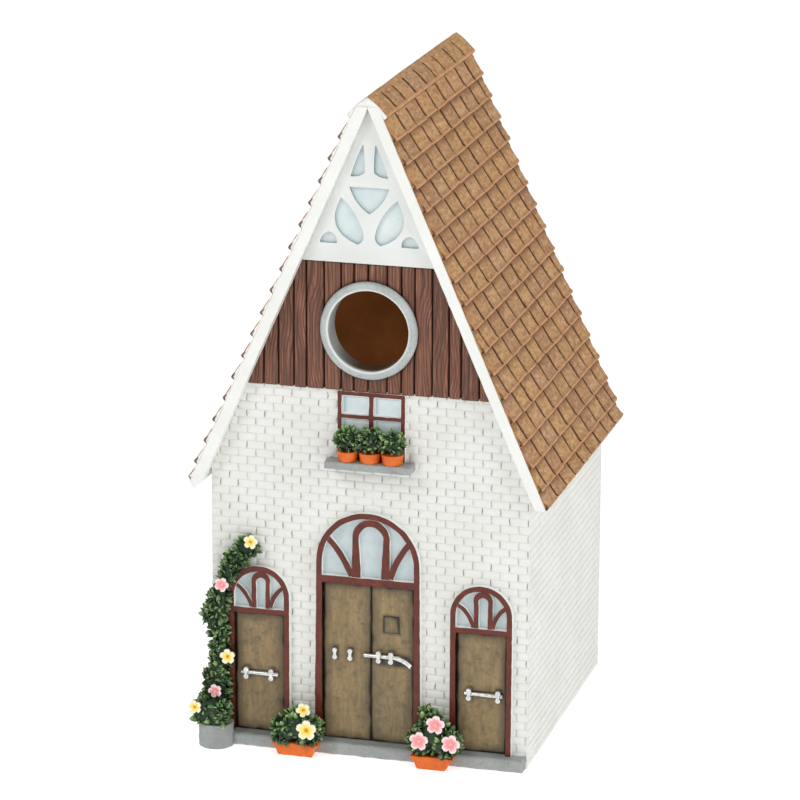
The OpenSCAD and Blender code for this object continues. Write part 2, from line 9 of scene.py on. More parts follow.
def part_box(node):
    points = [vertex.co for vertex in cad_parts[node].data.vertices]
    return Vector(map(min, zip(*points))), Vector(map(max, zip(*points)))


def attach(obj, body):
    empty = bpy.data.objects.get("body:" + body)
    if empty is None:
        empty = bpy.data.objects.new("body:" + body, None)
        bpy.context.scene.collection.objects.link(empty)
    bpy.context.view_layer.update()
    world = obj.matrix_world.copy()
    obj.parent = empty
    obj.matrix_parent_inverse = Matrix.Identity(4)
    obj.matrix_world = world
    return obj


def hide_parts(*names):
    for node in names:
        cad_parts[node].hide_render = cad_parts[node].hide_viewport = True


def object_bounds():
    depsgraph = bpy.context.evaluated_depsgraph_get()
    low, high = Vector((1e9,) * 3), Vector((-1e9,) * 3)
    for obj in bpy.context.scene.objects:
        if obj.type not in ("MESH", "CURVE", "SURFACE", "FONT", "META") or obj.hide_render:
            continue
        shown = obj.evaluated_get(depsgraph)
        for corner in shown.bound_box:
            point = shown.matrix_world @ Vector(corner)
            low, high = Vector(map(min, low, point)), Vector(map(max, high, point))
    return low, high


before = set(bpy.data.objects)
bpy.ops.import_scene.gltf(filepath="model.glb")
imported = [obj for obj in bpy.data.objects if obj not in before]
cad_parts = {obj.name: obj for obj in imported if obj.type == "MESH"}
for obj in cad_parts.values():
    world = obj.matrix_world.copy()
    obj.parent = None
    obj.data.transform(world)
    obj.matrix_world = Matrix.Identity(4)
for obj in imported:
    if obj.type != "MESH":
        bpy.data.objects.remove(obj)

CAD_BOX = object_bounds()
MM = 0.001
HOUSE, COVER = "house", "cover"

# ---------------------------------------------------------------- sizes read from the CAD parts

FRONT_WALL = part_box("front_wall")
BACK_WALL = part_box("back_wall")
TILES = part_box("right_tile_courses")
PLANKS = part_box("gable_planks")
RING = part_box("entrance_ring")

HALF_W = FRONT_WALL[1].x
FRONT_Y = FRONT_WALL[0].y
BACK_Y = BACK_WALL[1].y
WALL_T = FRONT_WALL[1].y - FRONT_WALL[0].y
SOFFIT_APEX = FRONT_WALL[1].z
BAND_LOW, BAND_TOP = PLANKS[0].z, PLANKS[1].z
PLANK_FACE = PLANKS[0].y
RING_MIDDLE_Z = (RING[0].z + RING[1].z) / 2
BORE_R = 17 * MM
SLEEVE_R = 18.6 * MM
FLANGE_R = (RING[1].x - RING[0].x) / 2
CLEAN_OUT_R = 20 * MM
SCREW_CLEAR_R = 6.2 * MM

PITCH = math.radians(66.4)
DOWN = Vector((math.cos(PITCH), 0, -math.sin(PITCH)))
OUT = Vector((math.sin(PITCH), 0, math.cos(PITCH)))
DECK_T = 4.8 * MM
DECK_APEX = SOFFIT_APEX + DECK_T / math.cos(PITCH)
FIRST_COURSE = 17.65 * MM
COURSE = 10.3 * MM
FULL_COURSES = 16
EAVE_NOSE = 189.25 * MM
NOSE_RISE = 2.0 * MM
HIGHEST_TILE = 2.08 * MM
LOWEST_TILE = 0.02 * MM
DECK_CROWN_Z = 277.9 * MM


def soffit_x(z):
    """Half width between the two roof decks' undersides at height z."""
    return (SOFFIT_APEX - z) / math.tan(PITCH)


# ---------------------------------------------------------------- materials


class Paint:
    """A Principled material put together node by node. Its coordinates are object space in millimetres."""

    def __init__(self, name, **constants):
        """constants are Principled inputs by name, with _ for a space."""
        self.material = bpy.data.materials.new(name)
        self.material.use_nodes = True
        self.tree = self.material.node_tree
        self.bsdf = self.tree.nodes["Principled BSDF"]
        for socket, value in constants.items():
            self.bsdf.inputs[socket.replace("_", " ")].default_value = value
        coords = self.tree.nodes.new("ShaderNodeTexCoord")
        scale = self.tree.nodes.new("ShaderNodeVectorMath")
        scale.operation = "SCALE"
        scale.inputs["Scale"].default_value = 1 / MM
        self.link(coords.outputs["Object"], scale.inputs[0])
        self.mm = scale.outputs[0]

    def link(self, source, target):
        """Joins an output to an input."""
        self.tree.links.new(source, target)

    def put(self, socket, value):
        """Feeds an input from another node, or sets it to a constant."""
        if isinstance(value, bpy.types.NodeSocket):
            self.link(value, socket)
        else:
            socket.default_value = value

    def stretched(self, stretch):
        """The coordinates scaled by three factors, so that a texture runs along one axis."""
        node = self.tree.nodes.new("ShaderNodeVectorMath")
        node.operation = "MULTIPLY"
        self.link(self.mm, node.inputs[0])
        node.inputs[1].default_value = stretch
        return node.outputs[0]

    def noise(self, scale, detail=3.0, roughness=0.55, stretch=None, distortion=0.0):
        """Fractal noise with scale in cycles per millimetre."""
        node = self.tree.nodes.new("ShaderNodeTexNoise")
        self.link(self.stretched(stretch) if stretch else self.mm, node.inputs["Vector"])
        node.inputs["Scale"].default_value = scale
        node.inputs["Detail"].default_value = detail
        node.inputs["Roughness"].default_value = roughness
        node.inputs["Distortion"].default_value = distortion
        return node.outputs["Fac"]

    def cells(self, scale):
        """Distance to the middle of the nearest random cell."""
        node = self.tree.nodes.new("ShaderNodeTexVoronoi")
        self.link(self.mm, node.inputs["Vector"])
        node.inputs["Scale"].default_value = scale
        return node.outputs["Distance"]

    def attribute(self, name):
        """A value that the mesh carries at its points."""
        node = self.tree.nodes.new("ShaderNodeAttribute")
        node.attribute_name = name
        return node.outputs["Fac"]

    def axis(self, index):
        """One coordinate in millimetres."""
        node = self.tree.nodes.new("ShaderNodeSeparateXYZ")
        self.link(self.mm, node.inputs[0])
        return node.outputs[index]

    def facing(self, index):
        """One component of the surface's own normal, in object space."""
        node = self.tree.nodes.new("ShaderNodeTexCoord")
        split = self.tree.nodes.new("ShaderNodeSeparateXYZ")
        self.link(node.outputs["Normal"], split.inputs[0])
        return split.outputs[index]

    def math(self, operation, a, b=0.0):
        """One sum on two values."""
        node = self.tree.nodes.new("ShaderNodeMath")
        node.operation = operation
        self.put(node.inputs[0], a)
        self.put(node.inputs[1], b)
        return node.outputs[0]

    def span(self, value, low, high, to_low=0.0, to_high=1.0):
        """value from low..high spread over to_low..to_high, held at the ends."""
        node = self.tree.nodes.new("ShaderNodeMapRange")
        self.link(value, node.inputs["Value"])
        node.inputs["From Min"].default_value = low
        node.inputs["From Max"].default_value = high
        node.inputs["To Min"].default_value = to_low
        node.inputs["To Max"].default_value = to_high
        return node.outputs["Result"]

    def ramp(self, value, stops):
        """A colour read off a row of (place, colour) stops."""
        node = self.tree.nodes.new("ShaderNodeValToRGB")
        self.link(value, node.inputs["Fac"])
        bar = node.color_ramp.elements
        while len(bar) < len(stops):
            bar.new(0.5)
        for element, (place, colour) in zip(bar, stops):
            element.position = place
            element.color = rgba(colour)
        return node.outputs["Color"]

    def mix(self, factor, a, b):
        """Colour a turning to colour b as the factor goes from 0 to 1."""
        node = self.tree.nodes.new("ShaderNodeMix")
        node.data_type = "RGBA"
        self.put(node.inputs["Factor"], factor)
        self.put(node.inputs["A"], a if isinstance(a, bpy.types.NodeSocket) else rgba(a))
        self.put(node.inputs["B"], b if isinstance(b, bpy.types.NodeSocket) else rgba(b))
        return node.outputs["Result"]

    def bump(self, height, distance_mm, strength):
        """A surface normal that leans with the slope of height."""
        node = self.tree.nodes.new("ShaderNodeBump")
        node.inputs["Strength"].default_value = strength
        node.inputs["Distance"].default_value = distance_mm * MM
        self.link(height, node.inputs["Height"])
        return node.outputs["Normal"]

    def glow(self, colour, strength):
        """Makes the surface give off light of its own: a painted glow inside the box, and an even brightness
        on the floor.
        """
        self.link(colour, self.bsdf.inputs["Emission Color"])
        self.link(strength, self.bsdf.inputs["Emission Strength"])

    def spots(self, source, low, high, amount=1.0):
        """How far a noise lies past low on the way to high, up to amount."""
        return self.span(source, low, high, 0.0, amount)

    def gloss(self, source, low, high):
        """Roughness that wanders between low and high with a noise."""
        return self.span(source, 0.3, 0.7, low, high)

    def done(self, colour, roughness=None, normal=None):
        """Connects what has been made, and returns the finished material."""
        self.link(colour, self.bsdf.inputs["Base Color"])
        if roughness is not None:
            self.link(roughness, self.bsdf.inputs["Roughness"])
        if normal is not None:
            self.link(normal, self.bsdf.inputs["Normal"])
        return self.material


def rgba(code):
    """A linear colour from a '#rrggbb' display colour."""
    channels = [int(code[i:i + 2], 16) / 255 for i in (1, 3, 5)]
    return [c / 12.92 if c <= 0.04045 else ((c + 0.055) / 1.055) ** 2.4 for c in channels] + [1.0]


def white_brick_paint():
    """White paint over moulded bricks, greyer in the joints and dark in some upright ones."""
    p = Paint("white_brick", Roughness=0.62)
    low = p.attribute("low")
    dark = p.attribute("dark")
    cloud = p.ramp(p.noise(0.05, 4), [(0.35, "#e0e0db"), (0.7, "#e9e9e6")])
    speck = p.spots(p.noise(1.1, 4, 0.65), 0.3, 0.75, 0.35)
    face = p.mix(speck, cloud, "#dcdbd5")
    joint = p.mix(p.span(p.noise(0.35, 2), 0.35, 0.65), "#bebbb3", "#dbd9d3")
    worn = p.mix(p.span(low, 0.35, 1.0), face, joint)
    colour = p.mix(p.math("MULTIPLY", dark, p.span(low, 0.4, 0.9)), worn, "#6f6c64")
    grain = p.bump(p.noise(2.2, 5, 0.7), 0.12, 0.5)
    return p.done(colour, p.gloss(p.noise(0.8), 0.55, 0.72), grain)


def raw_resin(p):
    """The unpainted brown casting, seen only inside the box."""
    return p.ramp(p.noise(0.06, 5, 0.6), [(0.3, "#593419"), (0.55, "#643b1d"), (0.8, "#6f4423")])


def inside_mask(p):
    """1 inside the box, between the four walls' inner faces."""
    within_x = p.math("LESS_THAN", p.math("ABSOLUTE", p.axis(0)), (HALF_W - WALL_T) / MM + 0.1)
    within_y = p.math("LESS_THAN", p.math("ABSOLUTE", p.axis(1)), (BACK_Y - WALL_T) / MM + 0.1)
    above = p.math("GREATER_THAN", p.axis(2), 0.5)
    return p.math("MULTIPLY", p.math("MULTIPLY", within_x, within_y), above)


def resin_inside(p, outside, normal):
    """The outside colour, turning to raw resin inside the box with a dim warm painted glow."""
    inside, resin = inside_mask(p), raw_resin(p)
    # painted light: a dim warm glow inside the box
    p.glow(resin, p.math("MULTIPLY", inside, p.span(p.noise(0.03, 2), 0.3, 0.7, 0.42, 0.5)))
    return p.done(p.mix(inside, outside, resin), None, normal)


def plain_wall_paint():
    """The walls' own faces: white outside, raw resin inside the box."""
    p = Paint("wall_white", Roughness=0.65)
    cloud = p.ramp(p.noise(0.05, 4), [(0.35, "#e4e3de"), (0.7, "#eeeeea")])
    return resin_inside(p, cloud, p.bump(p.noise(1.5, 5, 0.7), 0.15, 0.6))


def trim_paint(name, stops, side):
    """White paint; the sides of cut-outs take the side colour."""
    p = Paint(name, Roughness=0.5)
    cloud = p.ramp(p.noise(0.06, 4), [(0.35, stops[0]), (0.7, stops[1])])
    streak = p.spots(p.noise(0.5, 4, 0.6), 0.55, 0.8, 0.25)
    front = p.mix(streak, cloud, stops[2])
    towards_front = p.math("ABSOLUTE", p.facing(1))
    colour = p.mix(p.span(towards_front, 0.25, 0.6, 1.0, 0.0), front, side)
    return p.done(colour, p.gloss(p.noise(0.5), 0.42, 0.6), p.bump(p.noise(0.9, 4, 0.6), 0.12, 0.4))


def tile_paint():
    """Tan tiles with pits and flecks, a painted highlight on the lip, painted shade where shade is 1, darker
    still where low is 1, and, where end is 1, a white end.
    """
    p = Paint("roof_tile", Roughness=0.7)
    tone = p.attribute("tone")
    body = p.ramp(tone, [(0.0, "#b58664"), (0.35, "#c49464"), (0.65, "#d09f69"), (1.0, "#c49878")])
    patch = p.mix(p.spots(p.noise(0.16, 4, 0.6, stretch=(1.0, 0.5, 1.0)), 0.4, 0.75, 0.5), body, "#cda365")
    pits = p.noise(0.62, 5, 0.75, stretch=(1.0, 0.4, 1.0))
    speck = p.mix(p.spots(pits, 0.48, 0.66, 0.8), patch, "#8c5f3e")
    pale = p.mix(p.span(pits, 0.32, 0.45, 0.75, 0.0), speck, "#e4c39a")
    lip = p.mix(p.span(p.noise(0.3, 3), 0.35, 0.65), "#d39c6e", "#c48c5e")
    # the lip is lighter: a painted highlight
    lit = p.mix(p.math("MULTIPLY", p.attribute("lip"), 0.7), pale, lip)
    shaded = p.mix(p.attribute("shade"), lit, "#744828")
    # darkest where low is 1: the grooves, and painted shade on the undersides and ends
    colour = p.mix(p.span(p.attribute("low"), 0.08, 0.6), shaded, "#45260f")
    edge = p.span(p.attribute("low"), 0.3, 0.9, 1.0, 0.0)
    colour = p.mix(p.math("MULTIPLY", p.attribute("end"), edge), colour, "#efeeea")
    return p.done(colour, p.gloss(p.noise(0.9), 0.6, 0.8), p.bump(pits, 0.3, 0.8))


def deck_paint():
    """The roof decks: white outside, raw resin inside the box."""
    p = Paint("roof_deck", Roughness=0.65)
    cloud = p.ramp(p.noise(0.06, 4), [(0.35, "#e6e5e1"), (0.7, "#f2f1ee")])
    return resin_inside(p, cloud, p.bump(p.noise(1.2, 5, 0.7), 0.15, 0.5))


def plank_paint():
    """Dark red-brown boards with streaks along the grain."""
    p = Paint("dark_plank", Roughness=0.5)
    low = p.attribute("low")
    tone = p.attribute("tone")
    grain = p.attribute("grain")
    base = p.ramp(tone, [(0.0, "#5f3826"), (0.5, "#724531"), (1.0, "#82533d")])
    streak = p.noise(1.1, 5, 0.65, stretch=(1.0, 1.0, 0.06), distortion=0.5)
    worn = p.mix(p.spots(streak, 0.5, 0.66, 0.8), base, "#9f6c52")
    dark = p.mix(p.span(streak, 0.3, 0.45, 0.8, 0.0), worn, "#3b1d10")
    veins = p.mix(p.spots(grain, 0.4, 0.9, 0.8), dark, "#3d1f12")
    # low is near black at the boards' edges, with painted shadow under the band's top and round the ring
    colour = p.mix(p.span(low, 0.15, 0.85), veins, "#1b0b06")
    return p.done(colour, p.gloss(streak, 0.4, 0.62), p.bump(streak, 0.25, 0.8))


def stone_paint(name, stops, gloss=0.6, bore=False):
    """Speckled grey stone. With bore, brown low down in the entrance and a painted highlight along its lip.
    """
    p = Paint(name, Roughness=gloss)
    cloud = p.ramp(p.noise(0.12, 4), [(0.35, stops[0]), (0.7, stops[1])])
    fleck = p.mix(p.spots(p.noise(1.8, 3, 0.7), 0.56, 0.68, 0.8), cloud, stops[2])
    colour = p.mix(p.spots(p.noise(2.3, 2, 0.6), 0.6, 0.7, 0.7), fleck, stops[3])
    if bore:
        front, middle, bore_r = RING[0].y / MM, RING_MIDDLE_Z / MM, BORE_R / MM
        deep = p.span(p.axis(1), front + 0.9, front + 3.5, 0.0, 0.95)
        underside = p.span(p.axis(2), middle - bore_r + 0.6, middle - bore_r + 9, 1.0, 0.1)
        colour = p.mix(p.math("MULTIPLY", deep, underside), colour, "#4a3220")
        # a painted highlight along the bore's front edge
        across, above = p.axis(0), p.math("SUBTRACT", p.axis(2), middle)
        spread = p.math("ADD", p.math("MULTIPLY", across, across), p.math("MULTIPLY", above, above))
        near_bore = p.span(spread, (bore_r + 0.3) ** 2, (bore_r + 1.1) ** 2, 0.85, 0.0)
        at_front = p.span(p.axis(1), front + 0.5, front + 1.5, 1.0, 0.0)
        colour = p.mix(p.math("MULTIPLY", near_bore, at_front), colour, "#e8ebe9")
    wander = p.gloss(p.noise(1.0), gloss - 0.1, gloss + 0.1)
    return p.done(colour, wander, p.bump(p.noise(1.6, 4), 0.14, 0.5))


def frame_paint():
    """Red-brown on the front. The sides are white like the wall, with painted shadow where they face a door
    leaf.
    """
    p = Paint("red_brown_frame", Roughness=0.5)
    base = p.ramp(p.noise(0.22, 4, 0.6), [(0.3, "#4b1605"), (0.55, "#611c07"), (0.8, "#762b12")])
    worn = p.mix(p.spots(p.noise(0.9, 4, 0.7), 0.58, 0.75, 0.5), base, "#964f38")
    red = p.mix(p.span(p.noise(0.6, 3), 0.3, 0.42, 0.6, 0.0), worn, "#45170e")
    # painted shadow on the sides next to the door leaves, where pale is 0
    side_colour = p.mix(p.attribute("pale"), "#2e150d", "#e9ebe8")
    towards_front = p.math("ABSOLUTE", p.facing(1))
    broken = p.math("ADD", towards_front, p.span(p.noise(0.5, 3), 0.3, 0.7, -0.12, 0.12))
    colour = p.mix(p.span(broken, 0.42, 0.62, 1.0, 0.0), red, side_colour)
    return p.done(colour, p.gloss(p.noise(0.7), 0.34, 0.5), p.bump(p.noise(0.8, 4), 0.2, 0.5))


def door_paint():
    """Olive brown with patches and scratches, with painted shade towards the edges and round the fittings,
    near black right at the edge.
    """
    p = Paint("olive_door", Roughness=0.55)
    edge = p.attribute("edge")
    streak = p.noise(0.35, 5, 0.65, stretch=(1.0, 1.0, 0.2), distortion=0.6)
    base = p.ramp(streak, [(0.3, "#705f44"), (0.5, "#8a7653"), (0.72, "#a0885f")])
    warm = p.mix(p.spots(p.noise(0.1, 3), 0.45, 0.7, 0.5), base, "#8a7049")
    cool = p.mix(p.spots(p.noise(0.14, 4), 0.55, 0.75, 0.6), warm, "#67604f")
    patch = p.mix(p.spots(p.noise(0.28, 4, 0.65), 0.5, 0.66, 0.55), cool, "#5c5036")
    fleck = p.mix(p.spots(p.noise(0.8, 5, 0.75), 0.54, 0.7, 0.4), patch, "#a3936a")
    scratch = p.noise(0.9, 4, 0.6, stretch=(0.3, 1.0, 1.0))
    scratched = p.mix(p.spots(scratch, 0.6, 0.72, 0.45), fleck, "#57492f")
    # painted shade towards the edges and round the fittings, near black right at the edge
    grey = p.mix(p.span(edge, 0.0, 0.75, 0.78, 0.0), scratched, "#4a4234")
    colour = p.mix(p.span(edge, 0.0, 0.18, 0.95, 0.0), grey, "#1d130c")
    return p.done(colour, p.gloss(streak, 0.45, 0.62), p.bump(scratch, 0.18, 0.6))


def pane_paint(name, stops):
    """Opaque pale paint that stands for glass."""
    p = Paint(name, Roughness=0.3)
    colour = p.ramp(p.noise(0.09, 3), [(0.3, stops[0]), (0.55, stops[1]), (0.8, stops[2])])
    return p.done(colour, p.gloss(p.noise(0.3), 0.25, 0.4), p.bump(p.noise(0.4, 3), 0.1, 0.4))


def window_paint():
    """A pane with a pale bead at its edge and a painted shadow inside the bead."""
    p = Paint("window_pane", Roughness=0.3)
    glass = p.ramp(p.noise(0.12, 3), [(0.3, "#c0cdd1"), (0.55, "#cfd9dc"), (0.8, "#dde4e4")])
    # painted shadow where cool is 1
    shaded = p.mix(p.span(p.attribute("cool"), 0.0, 1.0, 0.0, 0.8), glass, "#7f99a0")
    colour = p.mix(p.span(p.attribute("bead"), 0.3, 0.8), shaded, "#eceeea")
    return p.done(colour, p.gloss(p.noise(0.3), 0.25, 0.4), p.bump(p.noise(0.4, 3), 0.1, 0.4))


def silver_paint():
    """Bright silver paint on cast fittings."""
    p = Paint("silver_paint", Metallic=0.85, Roughness=0.3)
    colour = p.ramp(p.noise(0.5, 4), [(0.3, "#b4b4b2"), (0.7, "#f0f0ee")])
    return p.done(colour, p.gloss(p.noise(0.9), 0.22, 0.42), p.bump(p.noise(0.9, 4), 0.1, 0.5))


def orange_paint():
    """Terracotta orange with paler rubbed spots."""
    p = Paint("orange_pot", Roughness=0.4)
    base = p.ramp(p.noise(0.2, 4), [(0.3, "#cc5500"), (0.6, "#df6a0c"), (0.85, "#e87a20")])
    colour = p.mix(p.spots(p.noise(1.1, 3), 0.58, 0.72, 0.4), base, "#ef9c5c")
    return p.done(colour, p.gloss(p.noise(0.6), 0.34, 0.5), p.bump(p.noise(0.8, 4), 0.1, 0.4))


def leaf_paint():
    """Green leaves, each with its own tone, lighter as painted light where they face up, with painted
    highlights towards the tip.
    """
    p = Paint("leaf_green", Roughness=0.5)
    tone = p.attribute("tone")
    tip = p.attribute("tip")
    base = p.ramp(tone, [(0.0, "#0c2613"), (0.4, "#1f4a1b"), (0.75, "#3b6d2c"), (1.0, "#649646")])
    # painted highlight towards the tips
    lit = p.mix(p.math("MULTIPLY", tip, p.span(tone, 0.1, 0.7, 0.3, 1.0)), base, "#c0da98")
    colour = p.mix(p.span(p.noise(1.2, 3), 0.35, 0.5, 0.55, 0.0), lit, "#0d2213")
    return p.done(colour, p.gloss(p.noise(1.0), 0.4, 0.6), p.bump(p.noise(1.6, 3), 0.12, 0.5))


def petal_paint(name, heart, middle, rim, eye):
    """Petals shaded from the eye out to the rim."""
    p = Paint(name, Roughness=0.5)
    spread = p.math("ADD", p.attribute("ray"), p.span(p.noise(1.3, 3), 0.3, 0.7, -0.08, 0.08))
    colour = p.ramp(spread, [(0.0, eye), (0.14, eye), (0.24, heart), (0.6, middle), (0.9, rim)])
    return p.done(colour, p.gloss(p.noise(0.9), 0.42, 0.58), p.bump(p.noise(1.2, 3), 0.08, 0.4))


def zinc_paint():
    """Zinc-plated steel with spangles, brushed along X."""
    p = Paint("zinc_plate", Metallic=1.0, Roughness=0.35)
    spangle = p.cells(0.35)
    colour = p.ramp(spangle, [(0.0, "#a3a8ab"), (0.5, "#b9bdc0"), (1.0, "#c8cccd")])
    brushed = p.noise(1.5, 4, 0.6, stretch=(0.06, 1.0, 1.0))
    return p.done(colour, p.gloss(brushed, 0.28, 0.48), p.bump(brushed, 0.05, 0.4))


def nylon_paint():
    """Off-white nylon."""
    p = Paint("nylon", Roughness=0.45, Subsurface_Weight=0.1)
    colour = p.ramp(p.noise(0.4, 3), [(0.3, "#d9d8d2"), (0.7, "#e6e5e0")])
    return p.done(colour, None, p.bump(p.noise(1.0, 3), 0.05, 0.4))


# ---------------------------------------------------------------- mesh helpers


def piece(name, verts, faces, material, replaced=(), attributes=None):
    """Makes a mesh object on the house, gives it its finish and hides the CAD nodes that it replaces."""
    mesh = bpy.data.meshes.new(name)
    mesh.from_pydata([tuple(v) for v in verts], [], [tuple(f) for f in faces])
    for key, values in (attributes or {}).items():
        layer = mesh.attributes.new(key, "FLOAT", "POINT")
        layer.data.foreach_set("value", np.asarray(values, np.float32))
    mesh.polygons.foreach_set("use_smooth", [True] * len(mesh.polygons))
    mesh.update()
    obj = bpy.data.objects.new(name, mesh)
    bpy.context.scene.collection.objects.link(obj)
    return adopt(obj, material, HOUSE, replaced)


def adopt(obj, material, body, replaced=()):
    """Gives a piece its one material and its body, and hides the CAD nodes that it replaces."""
    obj.data.materials.clear()
    obj.data.materials.append(material)
    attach(obj, body)
    if replaced:
        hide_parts(*replaced)
    return obj


def grid_faces(rows, cols, first=0, wrap=False, flip=False):
    """Quads of a grid of rows by cols points, row by row."""
    faces = []
    for r in range(rows - 1):
        for c in range(cols if wrap else cols - 1):
            d = (c + 1) % cols
            here, below = first + r * cols, first + (r + 1) * cols
            quad = (here + c, here + d, below + d, below + c)
            faces.append(quad[::-1] if flip else quad)
    return faces


def sheet_solid(front, back):
    """Verts and faces of a closed solid between two grids of points, each rows x cols x 3."""
    rows, cols = front.shape[:2]
    count = rows * cols
    verts = np.concatenate([front.reshape(-1, 3), back.reshape(-1, 3)])
    faces = grid_faces(rows, cols) + grid_faces(rows, cols, first=count, flip=True)
    rim = [r * cols for r in range(rows)]
    loop = list(range(cols)) + [r * cols + cols - 1 for r in range(1, rows)]
    loop += [(rows - 1) * cols + c for c in range(cols - 2, -1, -1)] + rim[-2:0:-1]
    for i, a in enumerate(loop):
        b = loop[(i + 1) % len(loop)]
        faces.append((b, a, a + count, b + count))
    return verts, faces


def front_mask(values, behind=0.0):
    """A mask for sheet_solid's points: values on the front, one number on the back."""
    return np.concatenate([values.ravel(), np.full(values.size, behind)])


def whole_mask(values):
    """A mask for sheet_solid's points, the same on the back as on the front."""
    return np.tile(values.ravel(), 2)


def tidy(obj, merge=1e-7):
    """Joins points that fell together and makes the faces look outwards."""
    bm = bmesh.new()
    bm.from_mesh(obj.data)
    bmesh.ops.remove_doubles(bm, verts=bm.verts, dist=merge)
    bmesh.ops.dissolve_degenerate(bm, edges=bm.edges, dist=merge)
    bmesh.ops.recalc_face_normals(bm, faces=bm.faces)
    bm.to_mesh(obj.data)
    bm.free()
    return obj


def apply_modifiers(obj):
    """Turns a piece's modifiers into its mesh."""
    bpy.context.view_layer.update()
    evaluated = obj.evaluated_get(bpy.context.evaluated_depsgraph_get())
    mesh = bpy.data.meshes.new_from_object(evaluated)
    obj.modifiers.clear()
    obj.data = mesh
    return obj


def noise_at(x, y, z, seed=0.0):
    """Smooth noise at one place, different for each seed."""
    return noise.noise(Vector((x + seed * 7.31, y - seed * 3.17, z + seed * 5.73)))


def noise_field(a, b, scale_a, scale_b, seed):
    """Smooth noise, about -0.8..0.8, on two matching arrays in millimetres."""
    table = np.random.default_rng(1000 + seed).uniform(-0.8, 0.8, (256, 256))
    u, v = a * scale_a + 60.3, b * scale_b + 60.7
    i, j = np.floor(u).astype(int), np.floor(v).astype(int)
    fu, fv = smooth_step(u - i), smooth_step(v - j)
    low = table[i % 256, j % 256] * (1 - fu) + table[(i + 1) % 256, j % 256] * fu
    high = table[i % 256, (j + 1) % 256] * (1 - fu) + table[(i + 1) % 256, (j + 1) % 256] * fu
    return low * (1 - fv) + high * fv


def smooth_step(t):
    """A soft step from 0 to 1 as t goes from 0 to 1."""
    t = np.clip(t, 0, 1)
    return t * t * (3 - 2 * t)


def cad_copy(node):
    """A copy of a CAD node's mesh with its flat faces joined back into single faces."""
    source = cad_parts[node]
    mesh = source.data.copy()
    obj = bpy.data.objects.new(node + "_shape", mesh)
    bpy.context.scene.collection.objects.link(obj)
    bm = bmesh.new()
    bm.from_mesh(mesh)
    bmesh.ops.remove_doubles(bm, verts=bm.verts, dist=1e-6)
    bmesh.ops.dissolve_limit(bm, angle_limit=math.radians(1), verts=bm.verts, edges=bm.edges)
    bm.to_mesh(mesh)
    bm.free()
    return obj


def softened(node, material, radius_mm, body=HOUSE, wobble_mm=0.0, detail_mm=None, pale=None):
    """A CAD node as it leaves the mould: its own shape with rounded edges and a slightly uneven skin."""
    obj = cad_copy(node)
    obj.name = node + "_cast"
    obj.data.name = obj.name
    bevel = obj.modifiers.new("round", "BEVEL")
    bevel.width = radius_mm * MM
    bevel.segments = 3
    bevel.limit_method = "ANGLE"
    bevel.angle_limit = math.radians(28)
    bevel.use_clamp_overlap = True
    apply_modifiers(obj)
    if detail_mm:
        refine(obj, detail_mm)
    if wobble_mm:
        lo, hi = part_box(node)
        unevenly(obj, wobble_mm, lo, hi)
    for polygon in obj.data.polygons:
        polygon.use_smooth = True
    sharp_by_angle(obj)
    if pale:
        layer = obj.data.attributes.new("pale", "FLOAT", "POINT")
        layer.data.foreach_set("value", [float(pale(v.co)) for v in obj.data.vertices])
    return adopt(obj, material, body, (node,))


def refine(obj, longest_mm):
    """Cuts long edges until none is longer than longest_mm."""
    bm = bmesh.new()
    bm.from_mesh(obj.data)
    bmesh.ops.triangulate(bm, faces=bm.faces)
    for _ in range(7):
        long_edges = [e for e in bm.edges if e.calc_length() > longest_mm * MM]
        if not long_edges:
            break
        bmesh.ops.subdivide_edges(bm, edges=long_edges, cuts=1)
        bmesh.ops.triangulate(bm, faces=bm.faces)
    bm.to_mesh(obj.data)
    bm.free()


def unevenly(obj, amount_mm, lo, hi):
    """Moves each point a little along smooth noise, and keeps it inside the CAD node's box."""
    for v in obj.data.vertices:
        p = v.co / MM
        shift = Vector([noise_at(p.x * 0.3, p.y * 0.3, p.z * 0.3, i) for i in (1, 2, 3)]) * amount_mm * MM
        q = v.co + shift
        v.co = Vector([min(max(q[i], lo[i]), hi[i]) for i in range(3)])


def sharp_by_angle(obj, degrees=40):
    """Splits the shading, not the mesh, at edges sharper than the angle."""
    bm = bmesh.new()
    bm.from_mesh(obj.data)
    limit = math.radians(degrees)
    for e in bm.edges:
        e.smooth = len(e.link_faces) == 2 and e.calc_face_angle(0) < limit
    bm.to_mesh(obj.data)
    bm.free()


def cut_away(obj, shapes):
    """Takes closed helper shapes out of a piece."""
    for shape in shapes:
        cut = obj.modifiers.new("cut", "BOOLEAN")
        cut.operation = "DIFFERENCE"
        cut.solver = "EXACT"
        cut.object = shape
    apply_modifiers(obj)
    for shape in shapes:
        bpy.data.objects.remove(shape)
    return obj


def rod_along_y(x, z, radius, y_low, y_high, sides=96):
    """A closed helper cylinder along Y."""
    bm = bmesh.new()
    turn = Matrix.Rotation(math.pi / 2, 4, "X")
    place = Matrix.Translation((x, (y_low + y_high) / 2, z)) @ turn
    bmesh.ops.create_cone(bm, cap_ends=True, segments=sides, radius1=radius, radius2=radius,
                          depth=y_high - y_low, matrix=place)
    mesh = bpy.data.meshes.new("helper")
    bm.to_mesh(mesh)
    bm.free()
    obj = bpy.data.objects.new("helper", mesh)
    bpy.context.scene.collection.objects.link(obj)
    return obj


# ---------------------------------------------------------------- brickwork

BRICK_L = 7.75
BRICK_H = 3.4
BRICK_PROUD = 0.42
BRICK_LOCAL_U = (0.0, 0.07, 0.15, 0.5, 0.85, 0.93)
BRICK_LOCAL_V = (0.0, 0.10, 0.21, 0.5, 0.79, 0.90)


def brick_lines(length, pitch, local):
    """Grid lines over a length, closer together at the joints."""
    lines = [(i + t) * pitch for i in range(int(length / pitch) + 2) for t in local]
    return np.array([v for v in lines if v < length - 0.05] + [length])


